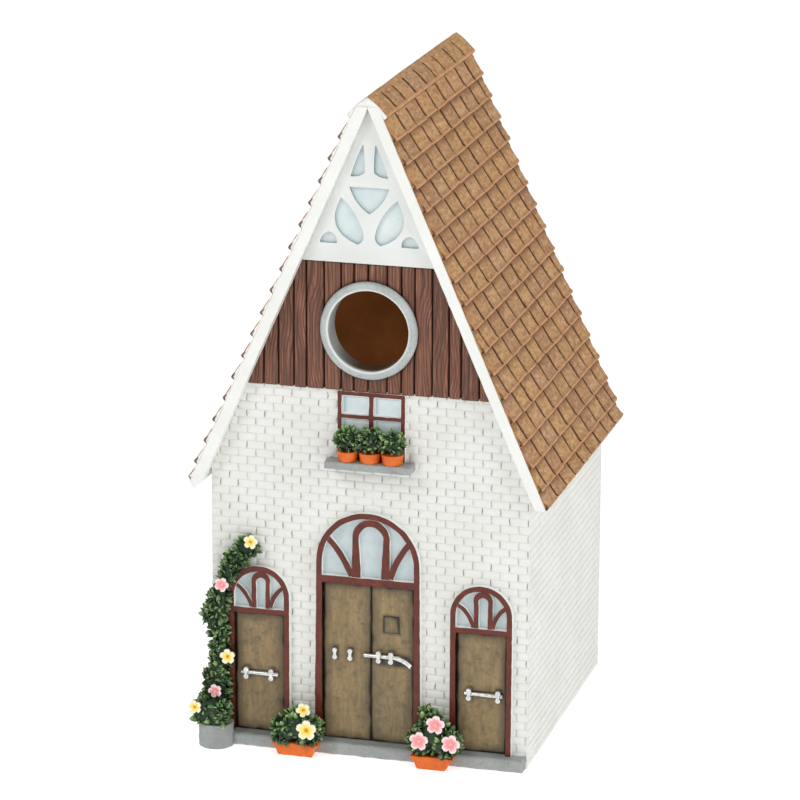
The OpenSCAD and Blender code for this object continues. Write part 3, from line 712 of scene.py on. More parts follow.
def brick_relief(u, v, seed, proud=BRICK_PROUD):
    """Height over the wall and two paint masks, for arrays of places in millimetres."""
    rng = np.random.default_rng(seed)
    wander_u = 0.22 * noise_field(u, v, 0.31, 0.9, seed + 1)
    wander_v = 0.20 * noise_field(u, v, 0.12, 0.25, seed + 2)
    uu, vv = u + wander_u, v + wander_v
    row = np.floor(vv / BRICK_H).astype(int)
    shift = np.where(row % 2 == 0, 0.0, BRICK_L / 2)
    col = np.floor((uu + shift) / BRICK_L).astype(int)
    along = (uu + shift) - col * BRICK_L
    up = vv - row * BRICK_H
    gap_u = np.minimum(along, BRICK_L - along)
    gap_v = np.minimum(up, BRICK_H - up)
    rise = smooth_step((gap_u - 0.12) / 0.42) * smooth_step((gap_v - 0.02) / 0.5)
    table = rng.uniform(-1, 1, (400, 400, 4))
    pick = table[row % 400, col % 400]
    level = 0.86 + 0.14 * pick[..., 0]
    lean = 0.10 * pick[..., 1] * (along / BRICK_L - 0.5) + 0.08 * pick[..., 2] * (up / BRICK_H - 0.5)
    rough = 0.05 * noise_field(u, v, 0.9, 1.3, seed + 3)
    height = proud * (rise * (level + lean) + rough * rise) + 0.05
    upright_joint = 1 - smooth_step((gap_u - 0.12) / 0.42)
    level_joint = 1 - smooth_step((gap_v - 0.02) / 0.5)
    low = np.maximum(upright_joint, 0.75 * level_joint)
    nearest = table[row % 400, np.floor((uu + shift) / BRICK_L + 0.5).astype(int) % 400, 3]
    upright = 1 - smooth_step((gap_u - 0.1) / 0.35)
    dark = upright * smooth_step((nearest + 0.75) / 1.7) * smooth_step((gap_v - 0.25) / 0.5) * 0.85
    return np.clip(height, 0.03, proud + 0.12) * MM, low, dark


def brick_skin(name, width, height, place, half_width, seed, proud=BRICK_PROUD, covered=()):
    """Bricks over a wall. place(u, v, h) gives points from millimetres across, up and outwards."""
    us = brick_lines(width, BRICK_L / 2, BRICK_LOCAL_U)
    vs = brick_lines(height, BRICK_H, BRICK_LOCAL_V)
    u, v = np.meshgrid(us, vs)
    if half_width is not None:
        limit = np.minimum(width / 2, np.array([half_width(z) for z in vs]))[:, None]
        u = np.clip(u, width / 2 - limit, width / 2 + limit)
    h, low, dark = brick_relief(u, v, seed, proud)
    for left, right, top in covered:
        under = (u - width / 2 > left / MM) & (u - width / 2 < right / MM) & (v < top / MM)
        h = np.where(under, 0.02 * MM, h)
    front = place(u, v, h)
    back = place(u, v, np.full_like(h, -0.3 * MM))
    verts, faces = sheet_solid(front, back)
    masks = {"low": front_mask(low), "dark": front_mask(dark)}
    obj = piece(name, verts, faces, WHITE_BRICK, (), masks)
    return tidy(obj)


def stack(x, y, z):
    """Three arrays of coordinates as one array of points."""
    return np.stack([x, y, z], axis=-1)


def build_brickwork():
    """One skin of bricks on each wall, its back sunk into the wall."""
    wide = 2 * HALF_W / MM + 0.7
    deep = (BACK_Y - FRONT_Y) / MM + 0.5
    side_h = (FRONT_WALL[1].z - HALF_W * math.tan(PITCH)) / MM
    band = BAND_LOW / MM + 0.6

    def limit(z):
        """Half the wall's width in millimetres between the roof decks."""
        return soffit_x(z * MM) / MM + 0.02

    doors = []
    for node in ("centre_door_left_leaf", "centre_door_right_leaf", "left_door_leaf", "right_door_leaf"):
        lo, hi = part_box(node)
        doors.append((lo.x - 1 * MM, hi.x + 1 * MM, hi.z + 1 * MM))
    brick_skin("bricks_front", wide, band,
               lambda u, v, h: stack((u - wide / 2) * MM, FRONT_Y - h, v * MM), limit, 3, covered=doors)
    back = brick_skin("bricks_back", wide, SOFFIT_APEX / MM - 0.5,
                      lambda u, v, h: stack((wide / 2 - u) * MM, BACK_Y + h, v * MM), limit, 5, proud=0.3)
    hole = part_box("clean_out_cover")
    middle = (hole[0].z + hole[1].z) / 2
    pivot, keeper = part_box("cover_pivot_screw"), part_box("cover_keeper_screw")
    shapes = [rod_along_y(0, middle, CLEAN_OUT_R, BACK_Y - 2 * MM, BACK_Y + 2 * MM)]
    for box in (pivot, keeper):
        z = (box[0].z + box[1].z) / 2
        shapes.append(rod_along_y(0, z, SCREW_CLEAR_R, BACK_Y - 2 * MM, BACK_Y + 2 * MM))
    cut_away(back, shapes)
    for side, name, seed in ((1, "bricks_right", 7), (-1, "bricks_left", 9)):
        brick_skin(name, deep, side_h,
                   lambda u, v, h, side=side: stack(side * (HALF_W + h), side * (u - deep / 2) * MM, v * MM),
                   None, seed)


# ---------------------------------------------------------------- roof

TILES_PER_ROW = 9
COURSE_STEPS = (0.0, 0.07, 0.17, 0.32, 0.48, 0.62, 0.73, 0.80, 0.85, 0.89, 0.93, 0.965, 0.985)
COURSE_RISE = (0.0, 0.10, 0.22, 0.38, 0.53, 0.64, 0.70, 0.77, 0.88, 0.97, 1.0, 0.90, 0.62)
JOINT_HALF = 0.72 * MM
JOINT_DEPTH = 1.15 * MM
FIELD_CORNER = 1.6 * MM


def roof_point(s, y, o, side):
    """s down the slope and o out from the deck, both in metres; side is 1 or -1."""
    x = s * DOWN.x + o * OUT.x
    z = DECK_APEX + s * DOWN.z + o * OUT.z
    return stack(side * x, y, z)


def tile_lines(length, pitch):
    """Places across the roof, closer together at the joints of both kinds of row."""
    local = (0.0, 0.014, 0.028, 0.045, 0.08, 0.16, 0.28, 0.40, 0.455, 0.472, 0.486)
    lines = [(i * 0.5 + t) * pitch for i in range(int(2 * length / pitch) + 2) for t in local]
    near_ends = [v * MM for v in (0.2, 0.45, 0.8, 1.2, 1.7, 2.3)]
    lines = [v for v in lines if 2.6 * MM < v < length - 2.6 * MM]
    return np.array([0.0] + near_ends + lines + [length - v for v in near_ends[::-1]] + [length])


def corner_round(distance, radius):
    """How far a rounded corner falls back at a distance from its end."""
    d = np.clip(radius - distance, 0, radius)
    return radius - np.sqrt(radius ** 2 - d ** 2)


def joint_jitter(ys, pitch, odd, rng):
    """Moves the joints of one row a little along the roof, and what lies between them along with them."""
    places = np.arange(-1, TILES_PER_ROW + 2) * pitch + (0.5 * pitch if odd else 0)
    moves = rng.uniform(-0.055, 0.055, len(places)) * pitch
    moves[(places < 0.3 * pitch) | (places > ys[-1] - 0.3 * pitch)] = 0
    fixed = np.concatenate([[0.0], places, [ys[-1]]])
    amount = np.concatenate([[0.0], moves, [0.0]])
    order = np.argsort(fixed)
    return np.interp(ys, fixed[order], amount[order])


def course_rows(ys, pitch, rng):
    """The rows of points down a slope as (course, place, share of the course, rise), and their jitter."""
    rows, drift = [], []
    for k in range(FULL_COURSES + 1):
        top = FIRST_COURSE + k * COURSE
        span = COURSE if k < FULL_COURSES else EAVE_NOSE - top + 0.4 * MM
        jitter = joint_jitter(ys, pitch, k % 2 == 1, rng)
        for t, rise in zip(COURSE_STEPS, COURSE_RISE):
            rows.append((k, top + t * span, t, rise))
            drift.append(jitter)
    rows.append((FULL_COURSES, EAVE_NOSE + 1.0 * MM, 1.0, 0.0))
    drift.append(drift[-1])
    return rows, drift


def build_slope(side, seed):
    """All the courses of one roof slope as one cast sheet, with grooves between the tiles."""
    rng = np.random.default_rng(seed)
    length = TILES[1].y - TILES[0].y
    pitch = length / TILES_PER_ROW
    ys = tile_lines(length, pitch)
    rows, drift = course_rows(ys, pitch, rng)
    flat = 0 * ys[None, :]
    course, s, t, rise = (np.array([r[i] for r in rows])[:, None] + flat for i in range(4))
    course = course.astype(int)
    bend = 0.55 * MM * np.clip((t - 0.35) / 0.5, 0, 1) ** 2
    edge_hold = np.clip(np.minimum(ys, length - ys) / (4 * MM), 0, 1)[None, :]
    y = ys[None, :] + np.array(drift) + bend * edge_hold

    # the tile that each point is in, and how far the nearest joint is
    shift = np.where(course % 2 == 0, 0.0, 0.5 * pitch)
    u = ys[None, :] + flat + shift
    col = np.floor(u / pitch + 1e-9).astype(int)
    near = np.floor(u / pitch + 0.5).astype(int)
    along, offset = u - col * pitch, u - near * pitch
    ymm, smm = y / MM, s / MM
    table = rng.uniform(-1, 1, (40, 20, 6))
    pick = table[course % 40, col % 20]
    joint = table[course % 40, near % 20, 5]
    inner = (near * pitch - shift > 0.2 * pitch) & (near * pitch - shift < length - 0.2 * pitch)

    # the grooves between tiles: 1 in the middle of one
    reach = np.where(course < FULL_COURSES, 0.91 + 0.05 * joint, 1.2)
    slot = 1 - smooth_step((np.abs(offset) - 0.4 * JOINT_HALF) / JOINT_HALF)
    begins = 0.02 + 0.05 * table[course % 40, near % 20, 4]
    slot = slot * smooth_step((t - begins) / 0.08) * (1 - smooth_step((t - reach + 0.04) / 0.09))
    slot = np.where(inner & (t < 1), slot, 0)

    # how far each tile's face stands off the deck
    level = 1 + 0.08 * pick[..., 0] + 0.09 * pick[..., 1] * (along / pitch - 0.5)
    dip = 0.10 * np.exp(-((offset / (1.2 * MM)) ** 2)) * smooth_step(t / 0.3)
    field_x = np.abs(along - 0.46 * pitch) - 0.40 * pitch + FIELD_CORNER
    field_t = np.abs(t - 0.44) * COURSE - 0.39 * COURSE + FIELD_CORNER
    field = np.hypot(np.clip(field_x, 0, None), np.clip(field_t, 0, None)) - FIELD_CORNER
    lip = smooth_step((field / MM + 0.1) / 0.7) * (t > 0.3) * (course < FULL_COURSES)
    hollow = 0.06 * np.sin(np.pi * np.clip(along / pitch, 0, 1)) * smooth_step(t / 0.3)
    coarse, fine = noise_field(ymm, smm, 0.45, 0.7, seed + 2), noise_field(ymm, smm, 1.1, 1.3, seed + 3)
    rough = 0.07 * coarse + 0.05 * fine
    shape = rise * level - dip + hollow * rise + rough * smooth_step(t / 0.2) * (rise > 0.2)
    depth = NOSE_RISE * np.clip(shape, 0, 1.03) - JOINT_DEPTH * slot * np.clip(rise, 0.2, 1)
    depth = np.where(rise == 0, LOWEST_TILE, depth)
    depth = np.clip(depth, LOWEST_TILE, HIGHEST_TILE)

    # the nose's uneven edge, turned back at the two ends of the roof
    corner = smooth_step(1 - np.abs(offset) / (0.8 * MM)) * (t > 0.8) * inner
    wander = (0.24 * pick[..., 2] + 0.3 * pick[..., 4] * (along / pitch - 0.5)) * MM
    plain = course < FULL_COURSES
    edge_wander = (wander - 0.3 * MM * corner) * smooth_step((t - 0.6) / 0.25) * (t < 1) * plain
    to_back, to_front = length - ys[None, :] + flat, ys[None, :] + flat
    turn = corner_round(to_back, 2.2 * MM) + corner_round(to_front, 1.2 * MM)
    edge_wander = edge_wander - turn * smooth_step((t - 0.45) / 0.4) * np.where(plain, t < 1, 1)
    fall = 0.55 * (turn + corner_round(to_back, 1.2 * MM)) * (rise > 0.3)
    depth = np.clip(depth - fall, LOWEST_TILE, None)
    front = roof_point(s + edge_wander, TILES[0].y + y, depth, side)
    front[..., 0] = np.clip(front[..., 0], CAD_BOX[0][0] + 0.02 * MM, CAD_BOX[1][0] - 0.02 * MM)
    back = roof_point(s, TILES[0].y + y, np.full_like(s, -0.15 * MM), side)
    verts, faces = sheet_solid(front, back)
    if side < 0:
        faces = [f[::-1] for f in faces]

    # the paint's masks: shade is painted shade under each lip, along the edge of each tile's field, on the
    # undersides and along the ends; low darkens the grooves and adds painted shade on the undersides and
    # ends
    under = smooth_step(1 - t / 0.32) * (course > 0)
    rim = np.exp(-(to_front / (0.3 * MM)) ** 2) + np.exp(-(to_back / (0.5 * MM)) ** 2)
    groove_line = 0.4 * np.exp(-((field / (0.28 * MM)) ** 2)) * (t > 0.25) * plain
    shade = np.clip(0.75 * under + groove_line + 0.9 * (t > 0.97) + 0.6 * rim, 0, 1)
    low = np.clip(slot * 1.3 + 0.5 * rim * smooth_step((t - 0.5) / 0.4) + 0.3 * (t > 0.975), 0, 1)
    tone = np.clip(0.5 + 0.42 * pick[..., 3], 0, 1)
    ends = np.zeros_like(s)
    ends[:, 0] = 1 if side < 0 else 0
    # painted shade: on the left slope the white ends go dark towards each nose
    nose_end = ends * smooth_step((t - 0.6) / 0.25) * plain
    masks = {"low": front_mask(low * (1 - ends) + nose_end), "shade": front_mask(shade * (1 - ends)),
             "tone": whole_mask(tone), "lip": front_mask(lip * (1 - slot)), "end": whole_mask(ends)}
    name = "right" if side > 0 else "left"
    stands_for = (name + "_tile_courses",)
    tidy(piece(name + "_tiles", verts, faces, ROOF_TILE, stands_for, masks))


def ridge_section(hi, lo):
    """Half of the ridge cap from the crown to the notch under its nose: points (x, z, t)."""
    nose_z = lo.z + 1.3 * MM
    points = []
    for t in np.linspace(0, 1, 15):
        bulge = 0.5 * MM * 4 * t * (1 - t)
        points.append((hi.x * t + bulge, hi.z + (nose_z - hi.z) * t + bulge, t))
    points.append((hi.x - 0.35 * MM, nose_z - 0.7 * MM, 1.06))
    points.append((hi.x - 1.6 * MM, lo.z + 0.1 * MM, 1.16))
    return points


def build_ridge(seed):
    """The saddle of ridge tiles: the cap's section swept along the ridge, with a groove at each joint."""
    rng = np.random.default_rng(seed)
    lo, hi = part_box("ridge_tiles")
    length = hi.y - lo.y
    pitch = length / TILES_PER_ROW
    ys = tile_lines(length, pitch)
    half = ridge_section(hi, lo)
    section = [(-x, z, t) for x, z, t in half[:0:-1]] + half
    flat = 0 * ys[None, :]
    xs, zs, ts = (np.array([p[i] for p in section])[:, None] + flat for i in range(3))
    y = ys[None, :] + joint_jitter(ys, pitch, False, rng)[None, :] + 0 * xs
    near = np.floor(ys[None, :] / pitch + 0.5).astype(int) + 0 * xs.astype(int)
    offset = ys[None, :] - near * pitch
    tile = np.floor(ys / pitch + 1e-9).astype(int)
    pick = rng.uniform(-1, 1, (20, 4))[tile % 20][None] + 0 * xs[..., None]
    inner = (near > 0) & (near < TILES_PER_ROW)
    slot = (1 - smooth_step((np.abs(offset) - 0.4 * JOINT_HALF) / JOINT_HALF)) * inner
    slot = slot * (1 - smooth_step((ts - 0.84) / 0.08)) * smooth_step((ts - 0.12) / 0.08)
    lip = np.exp(-(((ts - 0.93) / 0.06) ** 2))
    coarse = noise_field(y / MM, xs / MM, 0.45, 0.5, seed)
    fine = noise_field(y / MM, xs / MM, 1.1, 1.2, seed + 1)
    rough = 0.1 * coarse + 0.07 * fine
    sink = 0.75 * slot + 0.1 * np.exp(-((offset / (1.2 * MM)) ** 2))
    sink = sink + 0.12 * (1 - pick[..., 0]) + 0.25 * (1 - lip) + rough
    sink = np.clip(sink, 0, None) * (ts < 1.1) * MM
    angle = np.arctan2(zs - (lo.z - 2 * MM), xs)
    front = stack(xs - np.cos(angle) * sink, lo.y + y, zs - np.sin(angle) * sink)
    deck = np.minimum(DECK_CROWN_Z, DECK_APEX - np.abs(xs) * math.tan(PITCH))
    foot_x = hi.x - 1.7 * MM
    back = stack(np.clip(xs, -foot_x, foot_x), lo.y + y, np.maximum(deck, lo.z) - 0.1 * MM)
    verts, faces = sheet_solid(front, back)
    tone = np.clip(0.5 + 0.42 * pick[..., 1], 0, 1)
    ends = np.zeros_like(y)
    ends[:, 0] = 1
    low = np.clip(slot * 1.3, 0, 1) * (1 - ends)
    rim = np.exp(-(ys / (0.3 * MM)) ** 2) + np.exp(-((length - ys) / (0.5 * MM)) ** 2)
    above_lip = 0.3 * np.exp(-(((ts - 0.84) / 0.03) ** 2))
    shade = np.clip((ts > 1.03) * 0.8 + 0.6 * rim[None, :] + above_lip, 0, 1) * (1 - ends)
    masks = {"low": front_mask(low), "tone": whole_mask(tone), "shade": front_mask(shade),
             "lip": front_mask(lip * (1 - slot)), "end": whole_mask(ends)}
    tidy(piece("ridge_cap", verts, faces, ROOF_TILE, ("ridge_tiles",), masks))


# ---------------------------------------------------------------- gable

PLANK_COUNT = 16


def build_planks(seed):
    """Grained boards of uneven width, each a closed sheet, cut by the entrance and by the roof's slope."""
    rng = np.random.default_rng(seed)
    low_x = soffit_x(BAND_LOW)
    pitch = 2 * low_x / PLANK_COUNT
    edges = -low_x + pitch * np.arange(PLANK_COUNT + 1)
    edges[1:-1] += rng.uniform(-0.14, 0.14, PLANK_COUNT - 1) * pitch
    thick = FRONT_Y - PLANK_FACE
    across = np.concatenate([[0, 0.015, 0.04, 0.08, 0.13], np.linspace(0.18, 0.82, 28),
                             [0.87, 0.92, 0.96, 0.985, 1.0]])
    up = np.linspace(0, 1, 70)
    for i in range(PLANK_COUNT):
        left, right = edges[i], edges[i + 1]
        xs = left + (right - left) * across
        top = np.minimum(BAND_TOP, SOFFIT_APEX - np.abs(xs) * math.tan(PITCH)) - 0.01 * MM
        top = np.maximum(top, BAND_LOW + 0.02 * MM)
        foot = BAND_LOW + rng.uniform(0.0, 0.35) * MM
        x = xs[None, :] + 0 * up[:, None]
        z = np.minimum(foot, top)[None, :] * (1 - up[:, None]) + top[None, :] * up[:, None]
        sway = 0.16 * MM * noise_field(z / MM, 0 * z, 0.07, 1.0, seed + i + 200)
        a = across[None, :] + 0 * z
        gap = np.minimum(a, 1 - a) * (right - left) / MM
        round_edge = smooth_step(gap / 0.7)
        xm, zm = (x + sway) / MM, z / MM
        swirl = noise_field(xm, zm, 0.15, 0.055, seed + i + 80)
        rings = 0.5 + 0.5 * np.sin(4.6 * xm + 12.0 * swirl + i * 1.7)
        fine = noise_field(xm, zm, 2.2, 0.06, seed + i)
        height = 0.22 + round_edge * (0.68 + 0.14 * rings + 0.10 * fine + rng.uniform(-0.1, 0.1) * (a - 0.5))
        front = stack(x, FRONT_Y - thick * np.clip(height, 0.2, 1.0), z)
        back = stack(x, np.full_like(x, FRONT_Y + 0.1 * MM), z)
        verts, faces = sheet_solid(front, back)
        low = np.clip(1 - smooth_step(gap / 0.6), 0, 1)
        tone = np.clip(0.5 + 0.35 * rng.uniform(-1, 1) + 0.3 * swirl, 0, 1)
        veins = np.clip(1 - rings * 1.9 + 0.35 * fine, 0, 1)
        # painted shadow under the band's top and round the ring's flange
        low = np.maximum(low, 0.45 * np.exp(-((BAND_TOP - z) / (1.0 * MM)) ** 2))
        from_flange = np.hypot(x, z - RING_MIDDLE_Z) - FLANGE_R
        low = np.maximum(low, 0.6 * np.exp(-(from_flange / (1.1 * MM)) ** 2))
        masks = {"low": front_mask(low, 1.0), "tone": whole_mask(tone), "grain": front_mask(veins)}
        name = f"plank_{i + 1:02d}"
        obj = tidy(piece(name, verts, faces, DARK_PLANK, ("gable_planks",), masks))
        if min(abs(left), abs(right)) < SLEEVE_R + 0.1 * MM or left * right < 0:
            cut_away(obj, [rod_along_y(0, RING_MIDDLE_Z, SLEEVE_R, FRONT_Y - 5 * MM, FRONT_Y + 5 * MM)])


def lathe(name, profile, centre, material, replaced, turns, wobble_mm=0.0):
    """A closed ring or dome turned about a line along Y. profile is a closed loop of (radius, height)."""
    angles = np.linspace(0, 2 * np.pi, turns, endpoint=False)
    verts, faces = [], []
    count = len(profile)
    for a in angles:
        for k, (r, h) in enumerate(profile):
            place = Vector((math.cos(a) * r / MM * 0.35, math.sin(a) * r / MM * 0.35, h / MM * 0.5))
            rr = max(r + wobble_mm * MM * noise.noise(place), 0)
            verts.append((centre[0] + rr * math.cos(a), centre[1] + h, centre[2] + rr * math.sin(a)))
    for i in range(turns):
        j = (i + 1) % turns
        for k in range(count):
            m = (k + 1) % count
            faces.append((i * count + k, j * count + k, j * count + m, i * count + m))
    tidy(piece(name, verts, faces, material, replaced))


def rounded_loop(corners, radius, steps=5):
    """A closed loop of (a, b) corners with each corner rounded."""
    loop = []
    count = len(corners)
    for i, corner in enumerate(corners):
        p = Vector(corner)
        before = Vector(corners[i - 1]) - p
        after = Vector(corners[(i + 1) % count]) - p
        r = min(radius, before.length * 0.45, after.length * 0.45)
        a, b = p + before.normalized() * r, p + after.normalized() * r
        for k in range(steps + 1):
            t = k / steps
            q = a * (1 - t) ** 2 + p * 2 * t * (1 - t) + b * t ** 2
            loop.append((q.x, q.y))
    return loop


def build_ring():
    """The stone-coloured ring round the entrance, with its sleeve through the wall."""
    lo, hi = RING
    front, rear, seat = lo.y, hi.y, PLANK_FACE
    corners = [(BORE_R, front + 0.5 * MM), (BORE_R + 0.9 * MM, front),
               (FLANGE_R - 0.9 * MM, front + 0.25 * MM), (FLANGE_R, front + 1.3 * MM), (FLANGE_R, seat),
               (SLEEVE_R, seat), (SLEEVE_R, rear), (BORE_R, rear)]
    profile, middle = rounded_loop(corners, 0.5 * MM), (0, 0, RING_MIDDLE_Z)
    lathe("ring", profile, middle, RING_STONE, ("entrance_ring",), 180, 0.1)


# ---------------------------------------------------------------- doors and window


def box_distance(x, z, box):
    """Distance in the wall's plane from places to a box."""
    lo, hi = box
    dx = np.maximum(np.maximum(lo[0] - x, x - hi[0]), 0)
    dz = np.maximum(np.maximum(lo[2] - z, z - hi[2]), 0)
    return np.hypot(dx, dz)


def build_leaf(node, seed, fittings=()):
    """A door leaf: an uneven board with faint upright grain, with painted shade at its edges and round its
    fittings.
    """
    lo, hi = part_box(node)
    xs = np.linspace(lo.x, hi.x, 50)
    zs = np.linspace(lo.z, hi.z, 120)
    x, z = np.meshgrid(xs, zs)
    gap = np.minimum.reduce([x - lo.x, hi.x - x, z - lo.z, hi.z - z]) / MM
    xm, zm = x / MM, z / MM
    grain = noise_field(xm, zm, 0.9, 0.1, seed) + 0.5 * noise_field(xm, zm, 2.2, 0.3, seed + 3)
    swell = noise_field(xm, zm, 0.2, 0.12, seed + 5)
    height = 0.25 + smooth_step(gap / 0.8) * (0.60 + 0.09 * grain + 0.08 * swell)
    thick = hi.y - lo.y
    front = stack(x, hi.y - thick * np.clip(height, 0.1, 1.0), z)
    back = stack(x, np.full_like(x, hi.y + 0.05 * MM), z)
    verts, faces = sheet_solid(front, back)
    # painted shade at the edges and round the fittings, broken by a noise
    edge_shade = gap / 6.5
    for fitting in fittings:
        for box in islands(fitting):
            edge_shade = np.minimum(edge_shade, 0.12 + box_distance(x, z, box) / MM / 2.2)
    edge_shade = edge_shade + 0.16 * noise_field(xm, zm, 0.3, 0.22, seed + 9)
    masks = {"edge": front_mask(np.clip(edge_shade, 0, 1))}
    tidy(piece(node + "_board", verts, faces, OLIVE_DOOR, (node,), masks))


# ---------------------------------------------------------------- plants


def surface_points(node, count, seed):
    """Even random points on a CAD node's surface with their outward normals."""
    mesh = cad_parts[node].data
    mesh.calc_loop_triangles()
    tri = np.array([t.vertices[:] for t in mesh.loop_triangles])
    co = np.array([v.co[:] for v in mesh.vertices])
    a, b, c = co[tri[:, 0]], co[tri[:, 1]], co[tri[:, 2]]
    cross = np.cross(b - a, c - a)
    area = np.linalg.norm(cross, axis=1)
    rng = np.random.default_rng(seed)
    pick = rng.choice(len(tri), count, p=area / area.sum())
    r1, r2 = np.sqrt(rng.random(count)), rng.random(count)
    points = (1 - r1)[:, None] * a[pick] + (r1 * (1 - r2))[:, None] * b[pick] + (r1 * r2)[:, None] * c[pick]
    normals = cross[pick] / area[pick][:, None]
    return points, normals, rng


def leaf_shape():
    """One small thick leaf along +X, pointed and folded: its points, faces and shares of its length."""
    rings, sides = 5, 6
    verts, share = [(0, 0, 0)], [0.0]
    for k in range(1, rings):
        t = k / rings
        w = 0.36 * math.sin(math.pi * t ** 0.8) + 0.02
        for s in range(sides):
            a = 2 * math.pi * s / sides
            fold = 0.22 * abs(math.cos(a)) * w
            verts.append((t, w * math.cos(a), 0.11 * math.sin(a) * (1 - 0.5 * t) + fold + 0.28 * t * t))
            share.append(t)
    verts.append((1, 0, 0.3))
    share.append(1.0)
    faces = [(0, 1 + (s + 1) % sides, 1 + s) for s in range(sides)]
    for k in range(rings - 2):
        base = 1 + k * sides
        for s in range(sides):
            d = (s + 1) % sides
            faces.append((base + s, base + d, base + sides + d, base + sides + s))
    last = 1 + (rings - 2) * sides
    faces += [(last + s, last + (s + 1) % sides, len(verts) - 1) for s in range(sides)]
    return np.array(verts), faces, np.array(share)


LEAF = leaf_shape()


def build_window_panes(node, seed):
    """Each light is a slightly wavy pane with a pale bead at its edge and a painted shadow inside the bead,
    along its left and top sides.
    """
    for i, (lo, hi) in enumerate(islands(node)):
        xs = np.linspace(lo[0], hi[0], 34)
        zs = np.linspace(lo[2], hi[2], 34)
        x, z = np.meshgrid(xs, zs)
        edge = np.minimum(np.minimum(x - lo[0], hi[0] - x), np.minimum(z - lo[2], hi[2] - z)) / MM
        bead = np.clip(1 - np.abs(edge - 0.3) / 0.45, 0, 1)
        wave = 0.05 * noise_field(x / MM, z / MM, 0.3, 0.3, seed + i)
        y = lo[1] + (0.14 - 0.12 * bead + wave * (edge > 0.3)) * MM
        y = np.clip(y, lo[1] + 0.01 * MM, None)
        front, back = stack(x, y, z), stack(x, np.full_like(x, hi[1]), z)
        # painted shadow from the frame along the pane's left and top sides
        from_left = np.minimum((x - lo[0]) / MM, 1.6 * (hi[2] - z) / MM + 0.6) - 0.5
        cool = np.clip(1 - from_left / 1.9, 0, 1) * (edge > 0.45)
        masks = {"bead": front_mask(bead), "cool": front_mask(cool)}
        verts, faces = sheet_solid(front, back)
        tidy(piece(f"{node}_{i + 1}", verts, faces, WINDOW_PANE, (node,), masks))


def covers_flower(world, blooms):
    """Whether a leaf would come up through one of the flowers."""
    for lo, hi in blooms:
        away = np.hypot(world[:, 0] - (lo[0] + hi[0]) / 2, world[:, 2] - (lo[2] + hi[2]) / 2)
        if np.any((away < 0.55 * (hi[0] - lo[0])) & (world[:, 1] < hi[1])):
            return True
    return False


def build_foliage(node, count, size_mm, seed, flowers=None, droop=0.0):
    """A core dark with painted shade and a crowd of small leaves over it, in the space of a CAD foliage
    solid.
    """
    lo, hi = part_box(node)
    core = cad_copy(node)
    core.name = node + "_core"
    refine(core, 1.2)
    bm = bmesh.new()
    bm.from_mesh(core.data)
    bm.normal_update()
    for v in bm.verts:
        wave = noise.noise(v.co / MM * 0.7) * 0.55
        v.co -= v.normal * (0.55 - wave) * MM
        v.co = Vector([min(max(v.co[i], lo[i] + 0.2 * MM), hi[i]) for i in range(3)])
    bm.to_mesh(core.data)
    bm.free()
    # the core takes a dark leaf tone: painted shade between the leaves
    layer = core.data.attributes.new("tone", "FLOAT", "POINT")
    layer.data.foreach_set("value", [0.12] * len(core.data.vertices))
    core.data.attributes.new("tip", "FLOAT", "POINT")
    for polygon in core.data.polygons:
        polygon.use_smooth = True
    adopt(core, LEAF_GREEN, HOUSE, (node,))
    points, normals, rng = surface_points(node, count, seed)
    blooms = islands(flowers) if flowers else []
    shape, shape_faces, share = LEAF
    verts, faces, tone, tip = [], [], [], []
    used = 0
    for p, n in zip(points, normals):
        if n[1] > 0.75 or n[2] < -0.75:
            continue
        length = size_mm * MM * rng.uniform(0.75, 1.25)
        out = Vector(n) + Vector(rng.normal(0, 0.55, 3))
        out.z += 0.25 - droop
        out.normalize()
        side = out.cross(Vector(rng.normal(0, 1, 3))).normalized()
        up = side.cross(out)
        turn = np.array([[out.x, side.x, up.x], [out.y, side.y, up.y], [out.z, side.z, up.z]])
        origin = p - np.array(n) * 0.75 * MM
        world = origin + (shape * length) @ turn.T
        in_wall = world[:, 1].max() > FRONT_Y - 0.02 * MM
        outside = world[:, 1].min() < CAD_BOX[0][1] or world[:, 2].min() < 0
        if in_wall or outside or covers_flower(world, blooms):
            continue
        base = used * len(shape)
        verts.append(world)
        faces += [tuple(base + i for i in f) for f in shape_faces]
        # painted light: leaves that face up take a lighter tone, with a random spread
        shade = float(np.clip(0.35 + 0.3 * n[2] + rng.normal(0, 0.26), 0.02, 1))
        tone += [shade] * len(shape)
        # painted highlight towards the tip of most leaves
        tip += list(np.clip(share * 1.3 - 0.35, 0, 1) * (0.35 + 0.65 * (rng.random() > 0.35)))
        used += 1
    masks = {"tone": tone, "tip": tip}
    piece(node + "_leaves", np.concatenate(verts), faces, LEAF_GREEN, (node,), masks)


def islands(node):
    """The lowest and highest corners of each separate solid of a CAD node."""
    bm = bmesh.new()
    bm.from_mesh(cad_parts[node].data)
    bmesh.ops.remove_doubles(bm, verts=bm.verts, dist=1e-6)
    left, boxes = set(bm.verts), []
    while left:
        group, edge = set(), [left.pop()]
        while edge:
            v = edge.pop()
            group.add(v)
            for e in v.link_edges:
                w = e.other_vert(v)
                if w in left:
                    left.discard(w)
                    edge.append(w)
        co = np.array([v.co[:] for v in group])
        boxes.append((co.min(0), co.max(0)))
    bm.free()
    return sorted(boxes, key=lambda b: (round(float(b[0][2]), 5), round(float(b[0][0]), 5)))


